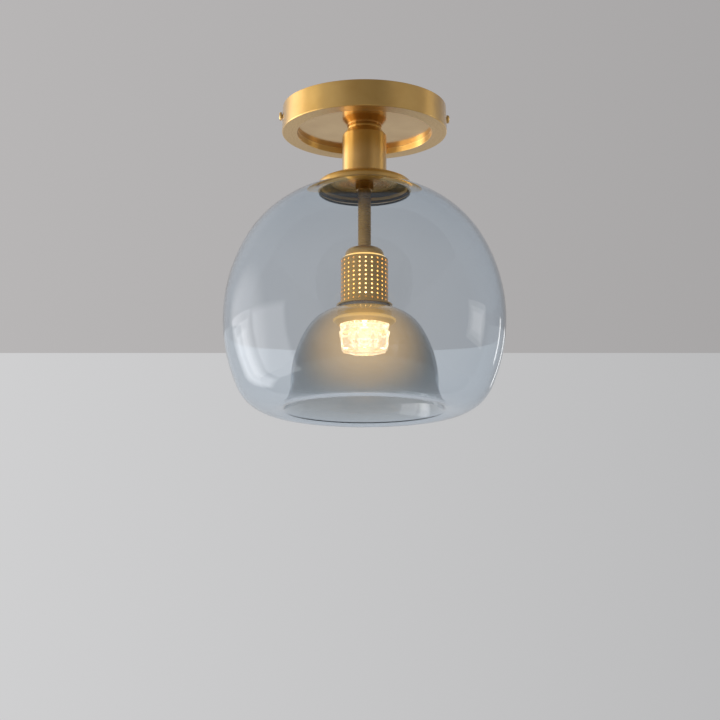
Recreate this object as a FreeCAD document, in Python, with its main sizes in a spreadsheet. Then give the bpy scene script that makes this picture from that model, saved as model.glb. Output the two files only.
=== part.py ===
import FreeCAD, Part
import math
import os
import re
from typing import NamedTuple, Optional

import Sketcher

# A semi flush ceiling light: a round brass canopy, a short brass neck, a smoked
# glass globe whose bottom folds back up into an inner bell, a perforated brass
# lamp holder on a thin stem inside the globe, and a cut crystal lens below it.
#
# The origin is the centre of the ceiling face. +Z is up, so the whole light
# hangs below z = 0. Every "depth" is a distance below the ceiling, in mm.

SHEET_NAME = "Sizes"

SIZES = {
    # clearances: sliding fit, loose fit, gap between faces that don't touch
    "slide_fit": 0.05,
    "loose_fit": 0.1,
    "face_gap": 0.3,
    # crossbar that is screwed to the ceiling
    "bar_reach": 69.5,
    "bar_width": 22.0,
    "bar_sheet": 1.5,
    "bar_ear_depth": 15.5,
    "bar_slot_spacing": 84.0,
    "bar_slot_length": 16.0,
    "bar_slot_width": 5.0,
    "earth_screw_offset": 28.0,
    "earth_screw_tip": 0.2,
    # canopy
    "canopy_top_radius": 74.2,
    "canopy_rim_radius": 74.8,
    "canopy_depth": 24.0,
    "canopy_edge": 0.8,
    "canopy_wall": 2.3,
    "canopy_sheet": 2.5,
    "recess_radius": 61.0,
    "recess_height": 5.5,
    # side screws that hold the canopy on the crossbar
    "side_screw_depth": 9.0,
    "side_screw_radius": 1.95,
    "side_screw_hole": 2.3,
    "side_screw_inner": 66.5,
    "side_head_radius": 3.8,
    "side_head_height": 2.3,
    "side_head_start": 75.0,
    "side_slot_width": 1.0,
    "side_slot_cut": 1.1,
    "slot_overrun": 1.0,
    # threaded tube that carries everything, and what it clamps in the canopy
    "tube_radius": 5.0,
    "tube_bore": 3.5,
    "tube_top_depth": 8.5,
    "tube_end_depth": 88.0,
    "tube_clearance": 0.1,
    "nut_flats": 14.0,
    "canopy_nut_height": 4.0,
    "tag_sheet": 0.6,
    "tag_radius": 8.5,
    "tag_reach": 16.0,
    "tag_width": 5.0,
    "lock_washer_sheet": 0.8,
    "lock_washer_radius": 8.8,
    # neck between canopy and globe
    "neck_radius": 20.0,
    "neck_wall": 1.6,
    "neck_foot_radius": 15.0,
    "neck_lip_radius": 15.6,
    "neck_gap": 1.1,
    "neck_shoulder": 8.0,
    "neck_plate": 3.0,
    "neck_length": 44.5,
    # shallow domed cap over the mouth of the globe, with a turned down rim
    "cap_radius": 43.0,
    "cap_arc": 80.0,
    "cap_sheet": 1.0,
    "cap_bend_start": 40.0,
    "cap_fall": 7.0,
    "cap_bend": 5.5,
    "cap_bend_end": 11.9,
    "cap_inner_bend_start": 39.54,
    "cap_inner_fall": 7.89,
    "cap_height": 13.3,
    "liner_inner": 31.0,
    "liner_outer": 38.5,
    "liner_sheet": 1.0,
    "seal_inner": 39.5,
    "seal_outer": 41.7,
    "seal_sheet": 2.0,
    "stiffener_radius": 30.0,
    "stiffener_depth": 67.6,
    "stiffener_sheet": 1.5,
    "stem_nut_height": 7.2,
    # stem
    "stem_radius": 5.85,
    "stem_bore": 3.6,
    "stem_end_depth": 132.0,
    "stem_tail_radius": 5.0,
    "stem_tail_length": 6.4,
    # lamp holder shell: domed cap and perforated sleeve
    "shell_crown_radius": 11.0,
    "shell_shoulder": 6.5,
    "shell_collar_depth": 140.0,
    "shell_collar_lap": 1.6,
    "shell_sheet": 1.2,
    "sleeve_radius": 21.2,
    "sleeve_wall": 1.0,
    "sleeve_mouth": 17.7,
    "sleeve_lip": 0.6,
    "sleeve_bend": 0.4,
    "sleeve_top_depth": 140.2,
    "sleeve_shoulder_depth": 142.6,
    "sleeve_end_depth": 184.0,
    "hole_radius": 0.85,
    "hole_first_depth": 145.2,
    "hole_pitch": 4.0,
    "hole_rows": 10,
    "hole_columns": 24,
    # saddle, lamp socket and its fixings
    "saddle_sheet": 1.2,
    "saddle_reach": 10.6,
    "saddle_width": 6.0,
    "saddle_web_radius": 8.5,
    "saddle_end_depth": 151.0,
    "holder_nut_height": 3.0,
    "socket_radius": 9.3,
    "socket_top_depth": 141.0,
    "socket_end_depth": 163.0,
    "socket_pin_hole": 1.2,
    "socket_pin_hole_depth": 12.0,
    "socket_screw_depth": 147.0,
    "socket_screw_radius": 1.4,
    "socket_screw_head": 2.6,
    "socket_screw_bite": 3.0,
    "socket_screw_cap": 1.6,
    # capsule lamp
    "pin_spacing": 9.0,
    "pin_radius": 0.75,
    "pin_length": 10.0,
    "lamp_base_radius": 7.8,
    "lamp_base_start": 163.4,
    "lamp_base_end": 173.0,
    "lamp_glass_radius": 7.2,
    "lamp_glass_wall": 0.8,
    "lamp_glass_end": 206.0,
    "lamp_core_radius": 3.6,
    "lamp_core_end": 200.0,
    # flange, seals and ring that clamp the glass
    "flange_radius": 25.0,
    "flange_sheet": 1.3,
    "flange_collar_depth": 178.0,
    "thread_radius": 19.2,
    "thread_bore": 17.9,
    "thread_end_depth": 198.6,
    "upper_seal_radius": 22.6,
    "upper_seal_sheet": 2.0,
    "lower_seal_radius": 24.0,
    "lower_seal_top": 190.6,
    "lower_seal_sheet": 1.2,
    "ring_collar_radius": 24.4,
    "ring_radius": 28.2,
    "ring_bore": 19.25,
    "ring_flange_top": 196.9,
    "ring_step": 0.8,
    "ring_chamfer": 0.4,
    "ring_flange_edge": 198.6,
    "ring_mouth_radius": 22.7,
    "ring_seat_radius": 22.2,
    "ring_seat_depth": 199.0,
    "ring_end_depth": 203.0,
    # cut crystal lens
    "crystal_facets": 8,
    "crystal_turn": 20.4,
    "crystal_collar_radius": 21.9,
    "crystal_top_depth": 199.3,
    "crystal_bore": 9.6,
    "crystal_bore_end": 221.0,
    # glass shade: one blown wall, a chain of tangent arcs from its mouth down
    "glass_wall": 2.5,
    "glass_mouth_radius": 41.0,
    "glass_mouth_depth": 76.5,
    "glass_mouth_slope": 10.0,
    # mains wiring held inside the light
    "block_length": 26.0,
    "block_width": 17.0,
    "block_start": 24.0,
    "block_top_depth": 4.5,
    "block_pitch": 12.0,
    "block_screw_radius": 1.8,
    "block_well_depth": 5.0,
    "block_well_floor": 1.5,
    "block_socket_radius": 1.5,
    "block_socket_depth": 5.0,
    "block_socket_drop": 3.0,
    "lead_radius": 0.9,
    "lead_offset": 1.7,
    "lead_arch_depth": 2.8,
    "lead_entry_depth": 8.5,
    "lead_tail": 5.0,
    "lead_bend_share": 0.45,
    "tube_overlap": 0.5,
    "earth_lead_radius": 0.75,
    "earth_head_radius": 3.6,
    "earth_head_height": 2.8,
}

# Arcs of the glass wall's outer face, from the mouth down the globe, round the
# folded rim and up the bell: name, radius, and turn in degrees. A negative turn
# is to the right. The bell's crown turns until the wall is almost level.
GLASS_ARCS = (
    ("rim", 60.0, -10.0),
    ("shoulder", 106.0, -41.4),
    ("upper_flank", 144.5, -28.6),
    ("lower_flank", 149.3, -24.2),
    ("heel", 38.0, -51.0),
    ("base", 28.0, -32.57),
    ("fold", 5.0, -34.59),
    ("flare", 32.31, -39.44),
    ("bell_side", 87.4, 34.4),
    ("bell_crown", 36.9, 53.4),
)

# Rings of the crystal's facets: depth and corner radius.
CRYSTAL_RINGS = (
    (203.0, 23.2),
    (204.8, 23.2),
    (207.0, 19.8),
    (210.5, 24.2),
    (215.0, 22.7),
    (222.7, 22.4),
    (226.0, 20.0),
)

FLOOR = "(canopy_depth - recess_height)"
INNER_FLOOR = "(canopy_depth - recess_height - canopy_sheet)"
NECK_END = "(canopy_depth - recess_height + neck_length)"
STEM_TOP = "(stiffener_depth + stiffener_sheet + stem_nut_height)"
CAP_RIM = "(canopy_depth - recess_height + neck_length + cap_height)"

ALIAS = re.compile(r"[a-z]+(?:_[a-z]+)+")


class Corner(NamedTuple):
    """A corner of an outline, and the arc, if any, of the edge that leaves it."""

    across: str
    depth: str
    arc: Optional[str] = None
    bulge: int = 1


def bound(formula):
    """Point every size named in a formula at its cell in the sheet."""
    return ALIAS.sub(lambda word: SHEET_NAME + "." + word.group(), formula)


def value(owner, formula):
    """The number that a formula of sizes stands for."""
    return float(owner.evalExpression(bound(formula)))


def make_sheet(doc):
    """Write the driving dimensions into the spreadsheet, one alias per row."""
    sheet = doc.addObject("Spreadsheet::Sheet", SHEET_NAME)
    for row, (alias, size) in enumerate(SIZES.items(), start=1):
        sheet.set(f"A{row}", alias)
        sheet.set(f"B{row}", str(size))
        sheet.setAlias(f"B{row}", alias)
    doc.recompute()
    return sheet


def new_body(doc, label):
    """An empty body whose label names the piece."""
    body = doc.addObject("PartDesign::Body", label)
    body.Label = label
    return body


def new_sketch(body, name, role):
    """A sketch on one of the body's own origin planes."""
    plane = next(item for item in body.Origin.OriginFeatures if item.Role == role)
    sketch = body.newObject("Sketcher::SketchObject", name)
    sketch.AttachmentSupport = [(plane, "")]
    sketch.MapMode = "FlatFace"
    return sketch


def bind_constraint(sketch, kind, where, formula):
    """Add one dimension to a sketch and bind it to a formula of sizes."""
    index = sketch.addConstraint(Sketcher.Constraint(kind, *where, value(sketch, formula)))
    sketch.setExpression(f"Constraints[{index}]", bound(formula))


def pin_point(sketch, geometry, vertex, across, up):
    """Hold a sketch point at bound distances from the origin."""
    for kind, formula, axis in (("DistanceX", across, -2), ("DistanceY", up, -1)):
        if abs(value(sketch, formula)) < 1e-9:
            sketch.addConstraint(Sketcher.Constraint("PointOnObject", geometry, vertex, axis))
        else:
            bind_constraint(sketch, kind, (-1, 1, geometry, vertex), formula)


def arc_between(start, end, radius, bulge):
    """The arc of a given radius from start to end, bulging left (1) or right (-1) of the way."""
    chord = end - start
    left = FreeCAD.Vector(-chord.y, chord.x, 0).normalize()
    sagitta = radius - math.sqrt(radius ** 2 - (chord.Length / 2) ** 2)
    middle = (start + end) * 0.5
    centre = middle + left * bulge * (sagitta - radius)
    circle = Part.Circle(centre, FreeCAD.Vector(0, 0, 1), radius)
    first, last = (end, start) if bulge > 0 else (start, end)
    angles = [math.atan2(spot.y - centre.y, spot.x - centre.x) for spot in (first, last)]
    return Part.ArcOfCircle(circle, angles[0], angles[1])


def outline_sketch(body, name, role, corners):
    """A closed outline whose corners and arc radii follow the sheet."""
    sketch = new_sketch(body, name, role)
    spots = [FreeCAD.Vector(value(sketch, corner.across), -value(sketch, corner.depth), 0)
             for corner in corners]
    ends = []
    for index, corner in enumerate(corners):
        start, end = spots[index], spots[(index + 1) % len(spots)]
        if corner.arc is None:
            geometry = sketch.addGeometry(Part.LineSegment(start, end), False)
            ends.append((geometry, 1, 2))
            continue
        curve = arc_between(start, end, value(sketch, corner.arc), corner.bulge)
        geometry = sketch.addGeometry(curve, False)
        ends.append((geometry, 2, 1) if corner.bulge > 0 else (geometry, 1, 2))
    for index, (geometry, _, head) in enumerate(ends):
        following, tail, _ = ends[(index + 1) % len(ends)]
        sketch.addConstraint(Sketcher.Constraint("Coincident", geometry, head, following, tail))
    for (geometry, tail, _), corner in zip(ends, corners):
        pin_point(sketch, geometry, tail, corner.across, f"-({corner.depth})")
        if corner.arc is not None:
            bind_constraint(sketch, "Radius", (geometry,), corner.arc)
    return sketch


def spin(doc, body, name, corners, axis="V_Axis"):
    """Sweep an outline once round an axis, as the next feature of a body."""
    sketch = outline_sketch(body, f"{name}_outline", "XZ_Plane", corners)
    turning = body.newObject("PartDesign::Revolution", f"{name}_turning")
    turning.Profile = sketch
    turning.ReferenceAxis = (sketch, [axis])
    turning.Angle = 360
    doc.recompute()


def turned(doc, label, corners, axis="V_Axis"):
    """A piece turned on the lathe."""
    body = new_body(doc, label)
    spin(doc, body, label, corners, axis)
    return body


def ring(doc, label, inner, outer, top, bottom):
    """A plain flat ring or tube between two depths."""
    return turned(doc, label, [
        Corner(inner, top), Corner(outer, top), Corner(outer, bottom), Corner(inner, bottom)])


def circle_in(sketch, across, up, radius):
    """A bound circle in a sketch."""
    centre = FreeCAD.Vector(value(sketch, across), value(sketch, up), 0)
    circle = Part.Circle(centre, FreeCAD.Vector(0, 0, 1), value(sketch, radius))
    geometry = sketch.addGeometry(circle, False)
    pin_point(sketch, geometry, 3, across, up)
    bind_constraint(sketch, "Radius", (geometry,), radius)


def pocket_through(doc, body, sketch, name):
    """Cut a sketch right through the body, both ways, and check that it cuts."""
    before = body.Shape.Volume
    pocket = body.newObject("PartDesign::Pocket", name)
    pocket.Profile = sketch
    pocket.Type = "ThroughAll"
    pocket.Midplane = True
    doc.recompute()
    if body.Shape.Volume >= before:
        raise RuntimeError(f"{name} cuts nothing")
    return pocket


def hex_nut(doc, label, flats, bore, top, height):
    """A hexagon nut with its bore, its top face at a depth."""
    body = new_body(doc, label)
    sketch = new_sketch(body, f"{label}_outline", "XY_Plane")
    corner_radius = value(sketch, flats) / math.sqrt(3)
    spots = [FreeCAD.Vector(corner_radius * math.cos(math.radians(60 * step)),
                            corner_radius * math.sin(math.radians(60 * step)), 0)
             for step in range(6)]
    lines = [sketch.addGeometry(Part.LineSegment(spots[step], spots[(step + 1) % 6]), False)
             for step in range(6)]
    for step in range(6):
        pin_point(sketch, lines[step], 1,
                  f"{flats} / sqrt(3) * cos({60 * step} deg)",
                  f"{flats} / sqrt(3) * sin({60 * step} deg)")
        sketch.addConstraint(
            Sketcher.Constraint("Coincident", lines[step], 2, lines[(step + 1) % 6], 1))
    circle_in(sketch, "0", "0", bore)
    pad = body.newObject("PartDesign::Pad", f"{label}_pad")
    pad.Profile = sketch
    pad.setExpression("Length", bound(height))
    pad.Reversed = True
    body.setExpression("Placement.Base.z", bound(f"-({top})"))
    doc.recompute()
    return body


def bent_strip(doc, label, corners, width):
    """A strip of sheet bent to an outline in the XZ plane, centred on it."""
    body = new_body(doc, label)
    sketch = outline_sketch(body, f"{label}_outline", "XZ_Plane", corners)
    pad = body.newObject("PartDesign::Pad", f"{label}_pad")
    pad.Profile = sketch
    pad.setExpression("Length", bound(width))
    pad.Midplane = True
    doc.recompute()
    return body


def u_outline(reach, sheet, top, bottom):
    """Outline of a U bent from sheet: a web at the top and two legs."""
    return [
        Corner(f"-{reach}", top), Corner(reach, top), Corner(reach, bottom),
        Corner(f"{reach} - {sheet}", bottom), Corner(f"{reach} - {sheet}", f"{top} + {sheet}"),
        Corner(f"-({reach} - {sheet})", f"{top} + {sheet}"),
        Corner(f"-({reach} - {sheet})", bottom), Corner(f"-{reach}", bottom)]


def cylinder(doc, name, radius, height, base):
    """A bound upright cylinder; base is its centre as three formulas."""
    solid = doc.addObject("Part::Cylinder", name)
    solid.setExpression("Radius", bound(radius))
    solid.setExpression("Height", bound(height))
    for axis, formula in zip("xyz", base):
        solid.setExpression(f"Placement.Base.{axis}", bound(formula))
    return solid


def box(doc, name, size, corner):
    """A bound box; size and its lowest corner are three formulas each."""
    solid = doc.addObject("Part::Box", name)
    for side, formula in zip(("Length", "Width", "Height"), size):
        solid.setExpression(side, bound(formula))
    for axis, formula in zip("xyz", corner):
        solid.setExpression(f"Placement.Base.{axis}", bound(formula))
    return solid


def cut(doc, label, base, tools):
    """The base less every tool, as one labelled piece."""
    result = base
    for index, tool in enumerate(tools):
        step = doc.addObject("Part::Cut", f"{label}_cut_{index}")
        step.Base = result
        step.Tool = tool
        result = step
    result.Label = label
    doc.recompute()
    return result


def group(doc, label, solids):
    """Identical separate pieces kept together as one node."""
    compound = doc.addObject("Part::Compound", label)
    compound.Links = solids
    compound.Label = label
    doc.recompute()
    return compound


def feature(doc, label, shape):
    """A piece whose shape comes from Part's own functions."""
    item = doc.addObject("Part::Feature", label)
    item.Label = label
    item.Shape = shape
    return item


def ceiling_bracket(doc):
    """Steel crossbar with slotted fixing holes and two bent ears for the side screws."""
    body = bent_strip(doc, "ceiling_bracket",
                      u_outline("bar_reach", "bar_sheet", "0", "bar_ear_depth"), "bar_width")
    slots = new_sketch(body, "ceiling_bracket_slots", "XY_Plane")
    circle_in(slots, "-earth_screw_offset", "0", "side_screw_radius")
    radius = SIZES["bar_slot_width"] / 2
    run = SIZES["bar_slot_length"] / 2 - radius
    for side in (-1, 1):
        middle = side * SIZES["bar_slot_spacing"] / 2
        add_slot(slots, middle, run, radius, side)
    pocket_through(doc, body, slots, "ceiling_bracket_punching")
    threads = new_sketch(body, "ceiling_bracket_ear_holes", "YZ_Plane")
    circle_in(threads, "0", "-side_screw_depth", "side_screw_radius + slide_fit")
    pocket_through(doc, body, threads, "ceiling_bracket_tapping")
    return body


def add_slot(sketch, middle, run, radius, side):
    """One slot along X: two bound end arcs joined by tangent lines."""
    axis = FreeCAD.Vector(0, 0, 1)
    left = FreeCAD.Vector(middle - run, 0, 0)
    right = FreeCAD.Vector(middle + run, 0, 0)
    quarter = math.pi / 2
    lift = FreeCAD.Vector(0, radius, 0)
    near = sketch.addGeometry(
        Part.ArcOfCircle(Part.Circle(left, axis, radius), quarter, 3 * quarter), False)
    far = sketch.addGeometry(
        Part.ArcOfCircle(Part.Circle(right, axis, radius), -quarter, quarter), False)
    low = sketch.addGeometry(Part.LineSegment(left - lift, right - lift), False)
    high = sketch.addGeometry(Part.LineSegment(right + lift, left + lift), False)
    for first, vertex, second, other in (
            (near, 2, low, 1), (low, 2, far, 1), (far, 2, high, 1), (high, 2, near, 1)):
        sketch.addConstraint(Sketcher.Constraint("Tangent", first, vertex, second, other))
    half_run = "(bar_slot_length - bar_slot_width) / 2"
    pin_point(sketch, near, 3, f"{side} * bar_slot_spacing / 2 - {half_run}", "0")
    pin_point(sketch, far, 3, f"{side} * bar_slot_spacing / 2 + {half_run}", "0")
    bind_constraint(sketch, "Radius", (near,), "bar_slot_width / 2")


def canopy(doc):
    """Brass canopy: a shallow cup with a recessed underside and two side holes."""
    step = "recess_radius + canopy_sheet"
    body = turned(doc, "canopy", [
        Corner("canopy_top_radius", "0"),
        Corner("canopy_rim_radius", "canopy_depth - canopy_edge"),
        Corner("canopy_rim_radius - canopy_edge", "canopy_depth"),
        Corner("recess_radius", "canopy_depth"),
        Corner("recess_radius", FLOOR),
        Corner("tube_radius + tube_clearance", FLOOR),
        Corner("tube_radius + tube_clearance", INNER_FLOOR),
        Corner(step, INNER_FLOOR),
        Corner(step, "canopy_depth - canopy_sheet"),
        Corner("canopy_rim_radius - canopy_wall", "canopy_depth - canopy_sheet"),
        Corner("canopy_top_radius - canopy_wall", "0")])
    holes = new_sketch(body, "canopy_side_holes", "YZ_Plane")
    circle_in(holes, "0", "-side_screw_depth", "side_screw_hole")
    pocket_through(doc, body, holes, "canopy_drilling")
    return body


def side_screw(doc, side, turn):
    """A slotted brass screw that enters the canopy from one side, along X."""
    label = f"canopy_screw_{side}"
    blank = turned(doc, f"{label}_blank", [
        Corner("side_screw_inner", "0"),
        Corner("side_screw_inner", "-side_screw_radius"),
        Corner("side_head_start", "-side_screw_radius"),
        Corner("side_head_start", "-side_head_radius"),
        Corner("side_head_start + side_head_height - canopy_edge", "-side_head_radius"),
        Corner("side_head_start + side_head_height", "-side_head_radius + canopy_edge"),
        Corner("side_head_start + side_head_height", "0")], axis="H_Axis")
    slot = box(doc, f"{label}_slot",
               ("side_slot_cut + slot_overrun", "side_slot_width", "4 * side_head_radius"),
               ("side_head_start + side_head_height - side_slot_cut",
                "-side_slot_width / 2", "-2 * side_head_radius"))
    screw = cut(doc, label, blank, [slot])
    screw.Placement = FreeCAD.Placement(
        FreeCAD.Vector(0, 0, -SIZES["side_screw_depth"]),
        FreeCAD.Rotation(FreeCAD.Vector(0, 0, 1), turn))
    return screw


def canopy_hardware(doc):
    """What the canopy hides: tube, nut, washer, earth tag and earth screw."""
    ring(doc, "threaded_tube", "tube_bore", "tube_radius", "tube_top_depth", "tube_end_depth")
    ring(doc, "lock_washer", "tube_radius + tube_clearance", "lock_washer_radius",
         f"{INNER_FLOOR} - lock_washer_sheet", INNER_FLOOR)
    tag_top = f"{INNER_FLOOR} - lock_washer_sheet - tag_sheet"
    disc = cylinder(doc, "earth_tag_disc", "tag_radius", "tag_sheet",
                    ("0", "0", f"-({tag_top} + tag_sheet)"))
    tongue = box(doc, "earth_tag_tongue", ("tag_reach", "tag_width", "tag_sheet"),
                 ("-tag_reach", "-tag_width / 2", f"-({tag_top} + tag_sheet)"))
    blank = doc.addObject("Part::Fuse", "earth_tag_blank")
    blank.Base = disc
    blank.Tool = tongue
    bore = cylinder(doc, "earth_tag_bore", "tube_radius + tube_clearance", "3 * tag_sheet",
                    ("0", "0", f"-({tag_top} + 2 * tag_sheet)"))
    cut(doc, "earth_tag", blank, [bore])
    hex_nut(doc, "canopy_nut", "nut_flats", "tube_radius + tube_clearance",
            f"{tag_top} - canopy_nut_height", "canopy_nut_height")
    shank = "side_screw_radius - slide_fit"
    screw = turned(doc, "earth_screw", [
        Corner("0", "earth_screw_tip"), Corner(shank, "earth_screw_tip"),
        Corner(shank, "bar_sheet"), Corner("earth_head_radius", "bar_sheet"),
        Corner("earth_head_radius", "bar_sheet + earth_head_height - canopy_edge"),
        Corner("earth_head_radius - canopy_edge", "bar_sheet + earth_head_height"),
        Corner("0", "bar_sheet + earth_head_height")])
    screw.setExpression("Placement.Base.x", bound("-earth_screw_offset"))


def terminal_block(doc):
    """Two pole terminal block on the canopy's floor, with its four clamp screws."""
    height = f"({INNER_FLOOR} - block_top_depth)"
    blank = box(doc, "terminal_block_blank", ("block_length", "block_width", height),
                ("-block_length / 2", "block_start", f"-{INNER_FLOOR}"))
    wells = []
    screws = []
    for number, (across, along) in enumerate(
            (x, y) for x in ("-block_pitch / 2", "block_pitch / 2")
            for y in ("block_width / 4", "3 * block_width / 4")):
        spot = (across, f"block_start + {along}", "-(block_top_depth + block_well_depth)")
        wells.append(cylinder(doc, f"terminal_well_{number}", "block_screw_radius + face_gap",
                              "block_well_depth + slot_overrun", spot))
        screws.append(cylinder(doc, f"terminal_screw_{number}", "block_screw_radius",
                               "block_well_depth - block_well_floor", spot))
    for number, across in enumerate(("-block_pitch / 2", "block_pitch / 2")):
        socket = cylinder(doc, f"terminal_socket_{number}", "block_socket_radius",
                          "block_width / 3",
                          (across, "block_start + block_width - block_socket_depth",
                           "-(lead_entry_depth + block_socket_drop)"))
        socket.Placement = FreeCAD.Placement(
            socket.Placement.Base, FreeCAD.Rotation(FreeCAD.Vector(1, 0, 0), -90))
        wells.append(socket)
    cut(doc, "terminal_block", blank, wells)
    group(doc, "terminal_screws", screws)


def neck(doc):
    """Hollow brass neck, narrow where it meets the canopy, open at the bottom."""
    return turned(doc, "neck", [
        Corner("tube_radius + tube_clearance", FLOOR),
        Corner("neck_foot_radius", FLOOR),
        Corner("neck_foot_radius", f"{FLOOR} + neck_gap"),
        Corner("neck_lip_radius", f"{FLOOR} + neck_gap"),
        Corner("neck_lip_radius", f"{FLOOR} + neck_shoulder / 3"),
        Corner("neck_radius", f"{FLOOR} + neck_shoulder"),
        Corner("neck_radius", NECK_END),
        Corner("neck_radius - neck_wall", NECK_END),
        Corner("neck_radius - neck_wall", f"{FLOOR} + neck_shoulder"),
        Corner("neck_foot_radius - neck_wall", f"{FLOOR} + neck_plate"),
        Corner("tube_radius + tube_clearance", f"{FLOOR} + neck_plate")])


def glass_cap(doc):
    """Thin domed brass cap that covers the globe's mouth, its rim turned down."""
    skirt_top = f"{NECK_END} + cap_bend_end"
    return turned(doc, "glass_cap", [
        Corner("tube_radius + tube_clearance", NECK_END),
        Corner("neck_radius", NECK_END, "cap_arc", 1),
        Corner("cap_bend_start", f"{NECK_END} + cap_fall", "cap_bend", 1),
        Corner("cap_radius", skirt_top),
        Corner("cap_radius", CAP_RIM),
        Corner("cap_radius - cap_sheet", CAP_RIM),
        Corner("cap_radius - cap_sheet", skirt_top, "cap_bend - cap_sheet", -1),
        Corner("cap_inner_bend_start", f"{NECK_END} + cap_inner_fall", "cap_arc - cap_sheet",
               -1),
        Corner("neck_radius", f"{NECK_END} + cap_sheet"),
        Corner("tube_radius + tube_clearance", f"{NECK_END} + cap_sheet")])


def cap_arc_depth(doc, radius, inset):
    """Depth of a face set in from the cap's outer arc, at a radius."""
    sheet = doc.getObject(SHEET_NAME)
    start = FreeCAD.Vector(SIZES["neck_radius"], -value(sheet, NECK_END), 0)
    end = FreeCAD.Vector(SIZES["cap_bend_start"], -value(sheet, f"{NECK_END} + cap_fall"), 0)
    centre = arc_between(start, end, SIZES["cap_arc"], 1).Center
    reach = SIZES["cap_arc"] - inset
    return -(centre.y + math.sqrt(reach ** 2 - (radius - centre.x) ** 2))


def cap_lining(doc):
    """Dark liner inside the cap, and the rubber ring between its rim and the glass."""
    sheet = SIZES["cap_sheet"] + SIZES["slide_fit"]
    liner = SIZES["liner_sheet"]
    inner, outer = SIZES["liner_inner"], SIZES["liner_outer"]
    turned(doc, "cap_liner", [
        Corner("liner_inner", str(cap_arc_depth(doc, inner, sheet)), "cap_arc - cap_sheet", 1),
        Corner("liner_outer", str(cap_arc_depth(doc, outer, sheet))),
        Corner("liner_outer", str(cap_arc_depth(doc, outer, sheet + liner)),
               "cap_arc - cap_sheet - liner_sheet", -1),
        Corner("liner_inner", str(cap_arc_depth(doc, inner, sheet + liner)))])
    ring(doc, "cap_seal", "seal_inner", "seal_outer",
         "glass_mouth_depth - face_gap - seal_sheet", "glass_mouth_depth - face_gap")


def stem_parts(doc):
    """Stiffening disc and nut under the cap, and the stem that hangs from them."""
    ring(doc, "cap_stiffener", "tube_radius + tube_clearance", "stiffener_radius",
         "stiffener_depth", "stiffener_depth + stiffener_sheet")
    hex_nut(doc, "stem_nut", "nut_flats", "tube_radius + tube_clearance",
            "stiffener_depth + stiffener_sheet", "stem_nut_height")
    turned(doc, "stem", [
        Corner("tube_radius + slide_fit", STEM_TOP), Corner("stem_radius", STEM_TOP),
        Corner("stem_radius", "stem_end_depth"),
        Corner("stem_tail_radius", "stem_end_depth"),
        Corner("stem_tail_radius", "stem_end_depth + stem_tail_length"),
        Corner("stem_bore", "stem_end_depth + stem_tail_length"),
        Corner("stem_bore", "tube_end_depth + tube_overlap"),
        Corner("tube_radius + slide_fit", "tube_end_depth + tube_overlap")])


def holder_shell(doc):
    """Domed cap and perforated sleeve round the lamp socket."""
    wall = "shell_crown_radius + shell_shoulder"
    inner = f"{wall} - shell_sheet"
    turned(doc, "holder_cap", [
        Corner("stem_tail_radius + slide_fit", "stem_end_depth"),
        Corner("shell_crown_radius", "stem_end_depth", "shell_shoulder", 1),
        Corner(wall, "stem_end_depth + shell_shoulder"),
        Corner(wall, "shell_collar_depth + shell_collar_lap"),
        Corner(inner, "shell_collar_depth + shell_collar_lap"),
        Corner(inner, "stem_end_depth + shell_shoulder", "shell_shoulder - shell_sheet", -1),
        Corner("shell_crown_radius", "stem_end_depth + shell_sheet"),
        Corner("stem_tail_radius + slide_fit", "stem_end_depth + shell_sheet")])
    sleeve = turned(doc, "holder_sleeve", [
        Corner("sleeve_mouth", "sleeve_top_depth"),
        Corner("sleeve_mouth + sleeve_lip", "sleeve_top_depth"),
        Corner("sleeve_radius", "sleeve_shoulder_depth"),
        Corner("sleeve_radius", "sleeve_end_depth"),
        Corner("sleeve_radius - sleeve_wall", "sleeve_end_depth"),
        Corner("sleeve_radius - sleeve_wall", "sleeve_shoulder_depth + sleeve_bend"),
        Corner("sleeve_mouth", "sleeve_top_depth + sleeve_wall")])
    perforate(doc, sleeve)


def perforate(doc, sleeve):
    """Punch one column of holes through the sleeve's wall, then repeat it all round."""
    column = new_sketch(sleeve, "holder_sleeve_column", "YZ_Plane")
    for row in range(SIZES["hole_rows"]):
        circle_in(column, "0", f"-(hole_first_depth + {row} * hole_pitch)", "hole_radius")
    pocket = sleeve.newObject("PartDesign::Pocket", "holder_sleeve_punching")
    pocket.Profile = column
    pocket.Type = "ThroughAll"
    pocket.Reversed = True
    before = sleeve.Shape.Volume
    doc.recompute()
    axis = next(item for item in sleeve.Origin.OriginFeatures if item.Role == "Z_Axis")
    pattern = sleeve.newObject("PartDesign::PolarPattern", "holder_sleeve_pattern")
    pattern.Originals = [pocket]
    pattern.Axis = (axis, [""])
    pattern.Angle = 360
    pattern.Occurrences = SIZES["hole_columns"]
    sleeve.Tip = pattern
    doc.recompute()
    if sleeve.Shape.Volume >= before:
        raise RuntimeError("the perforations cut nothing")


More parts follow.
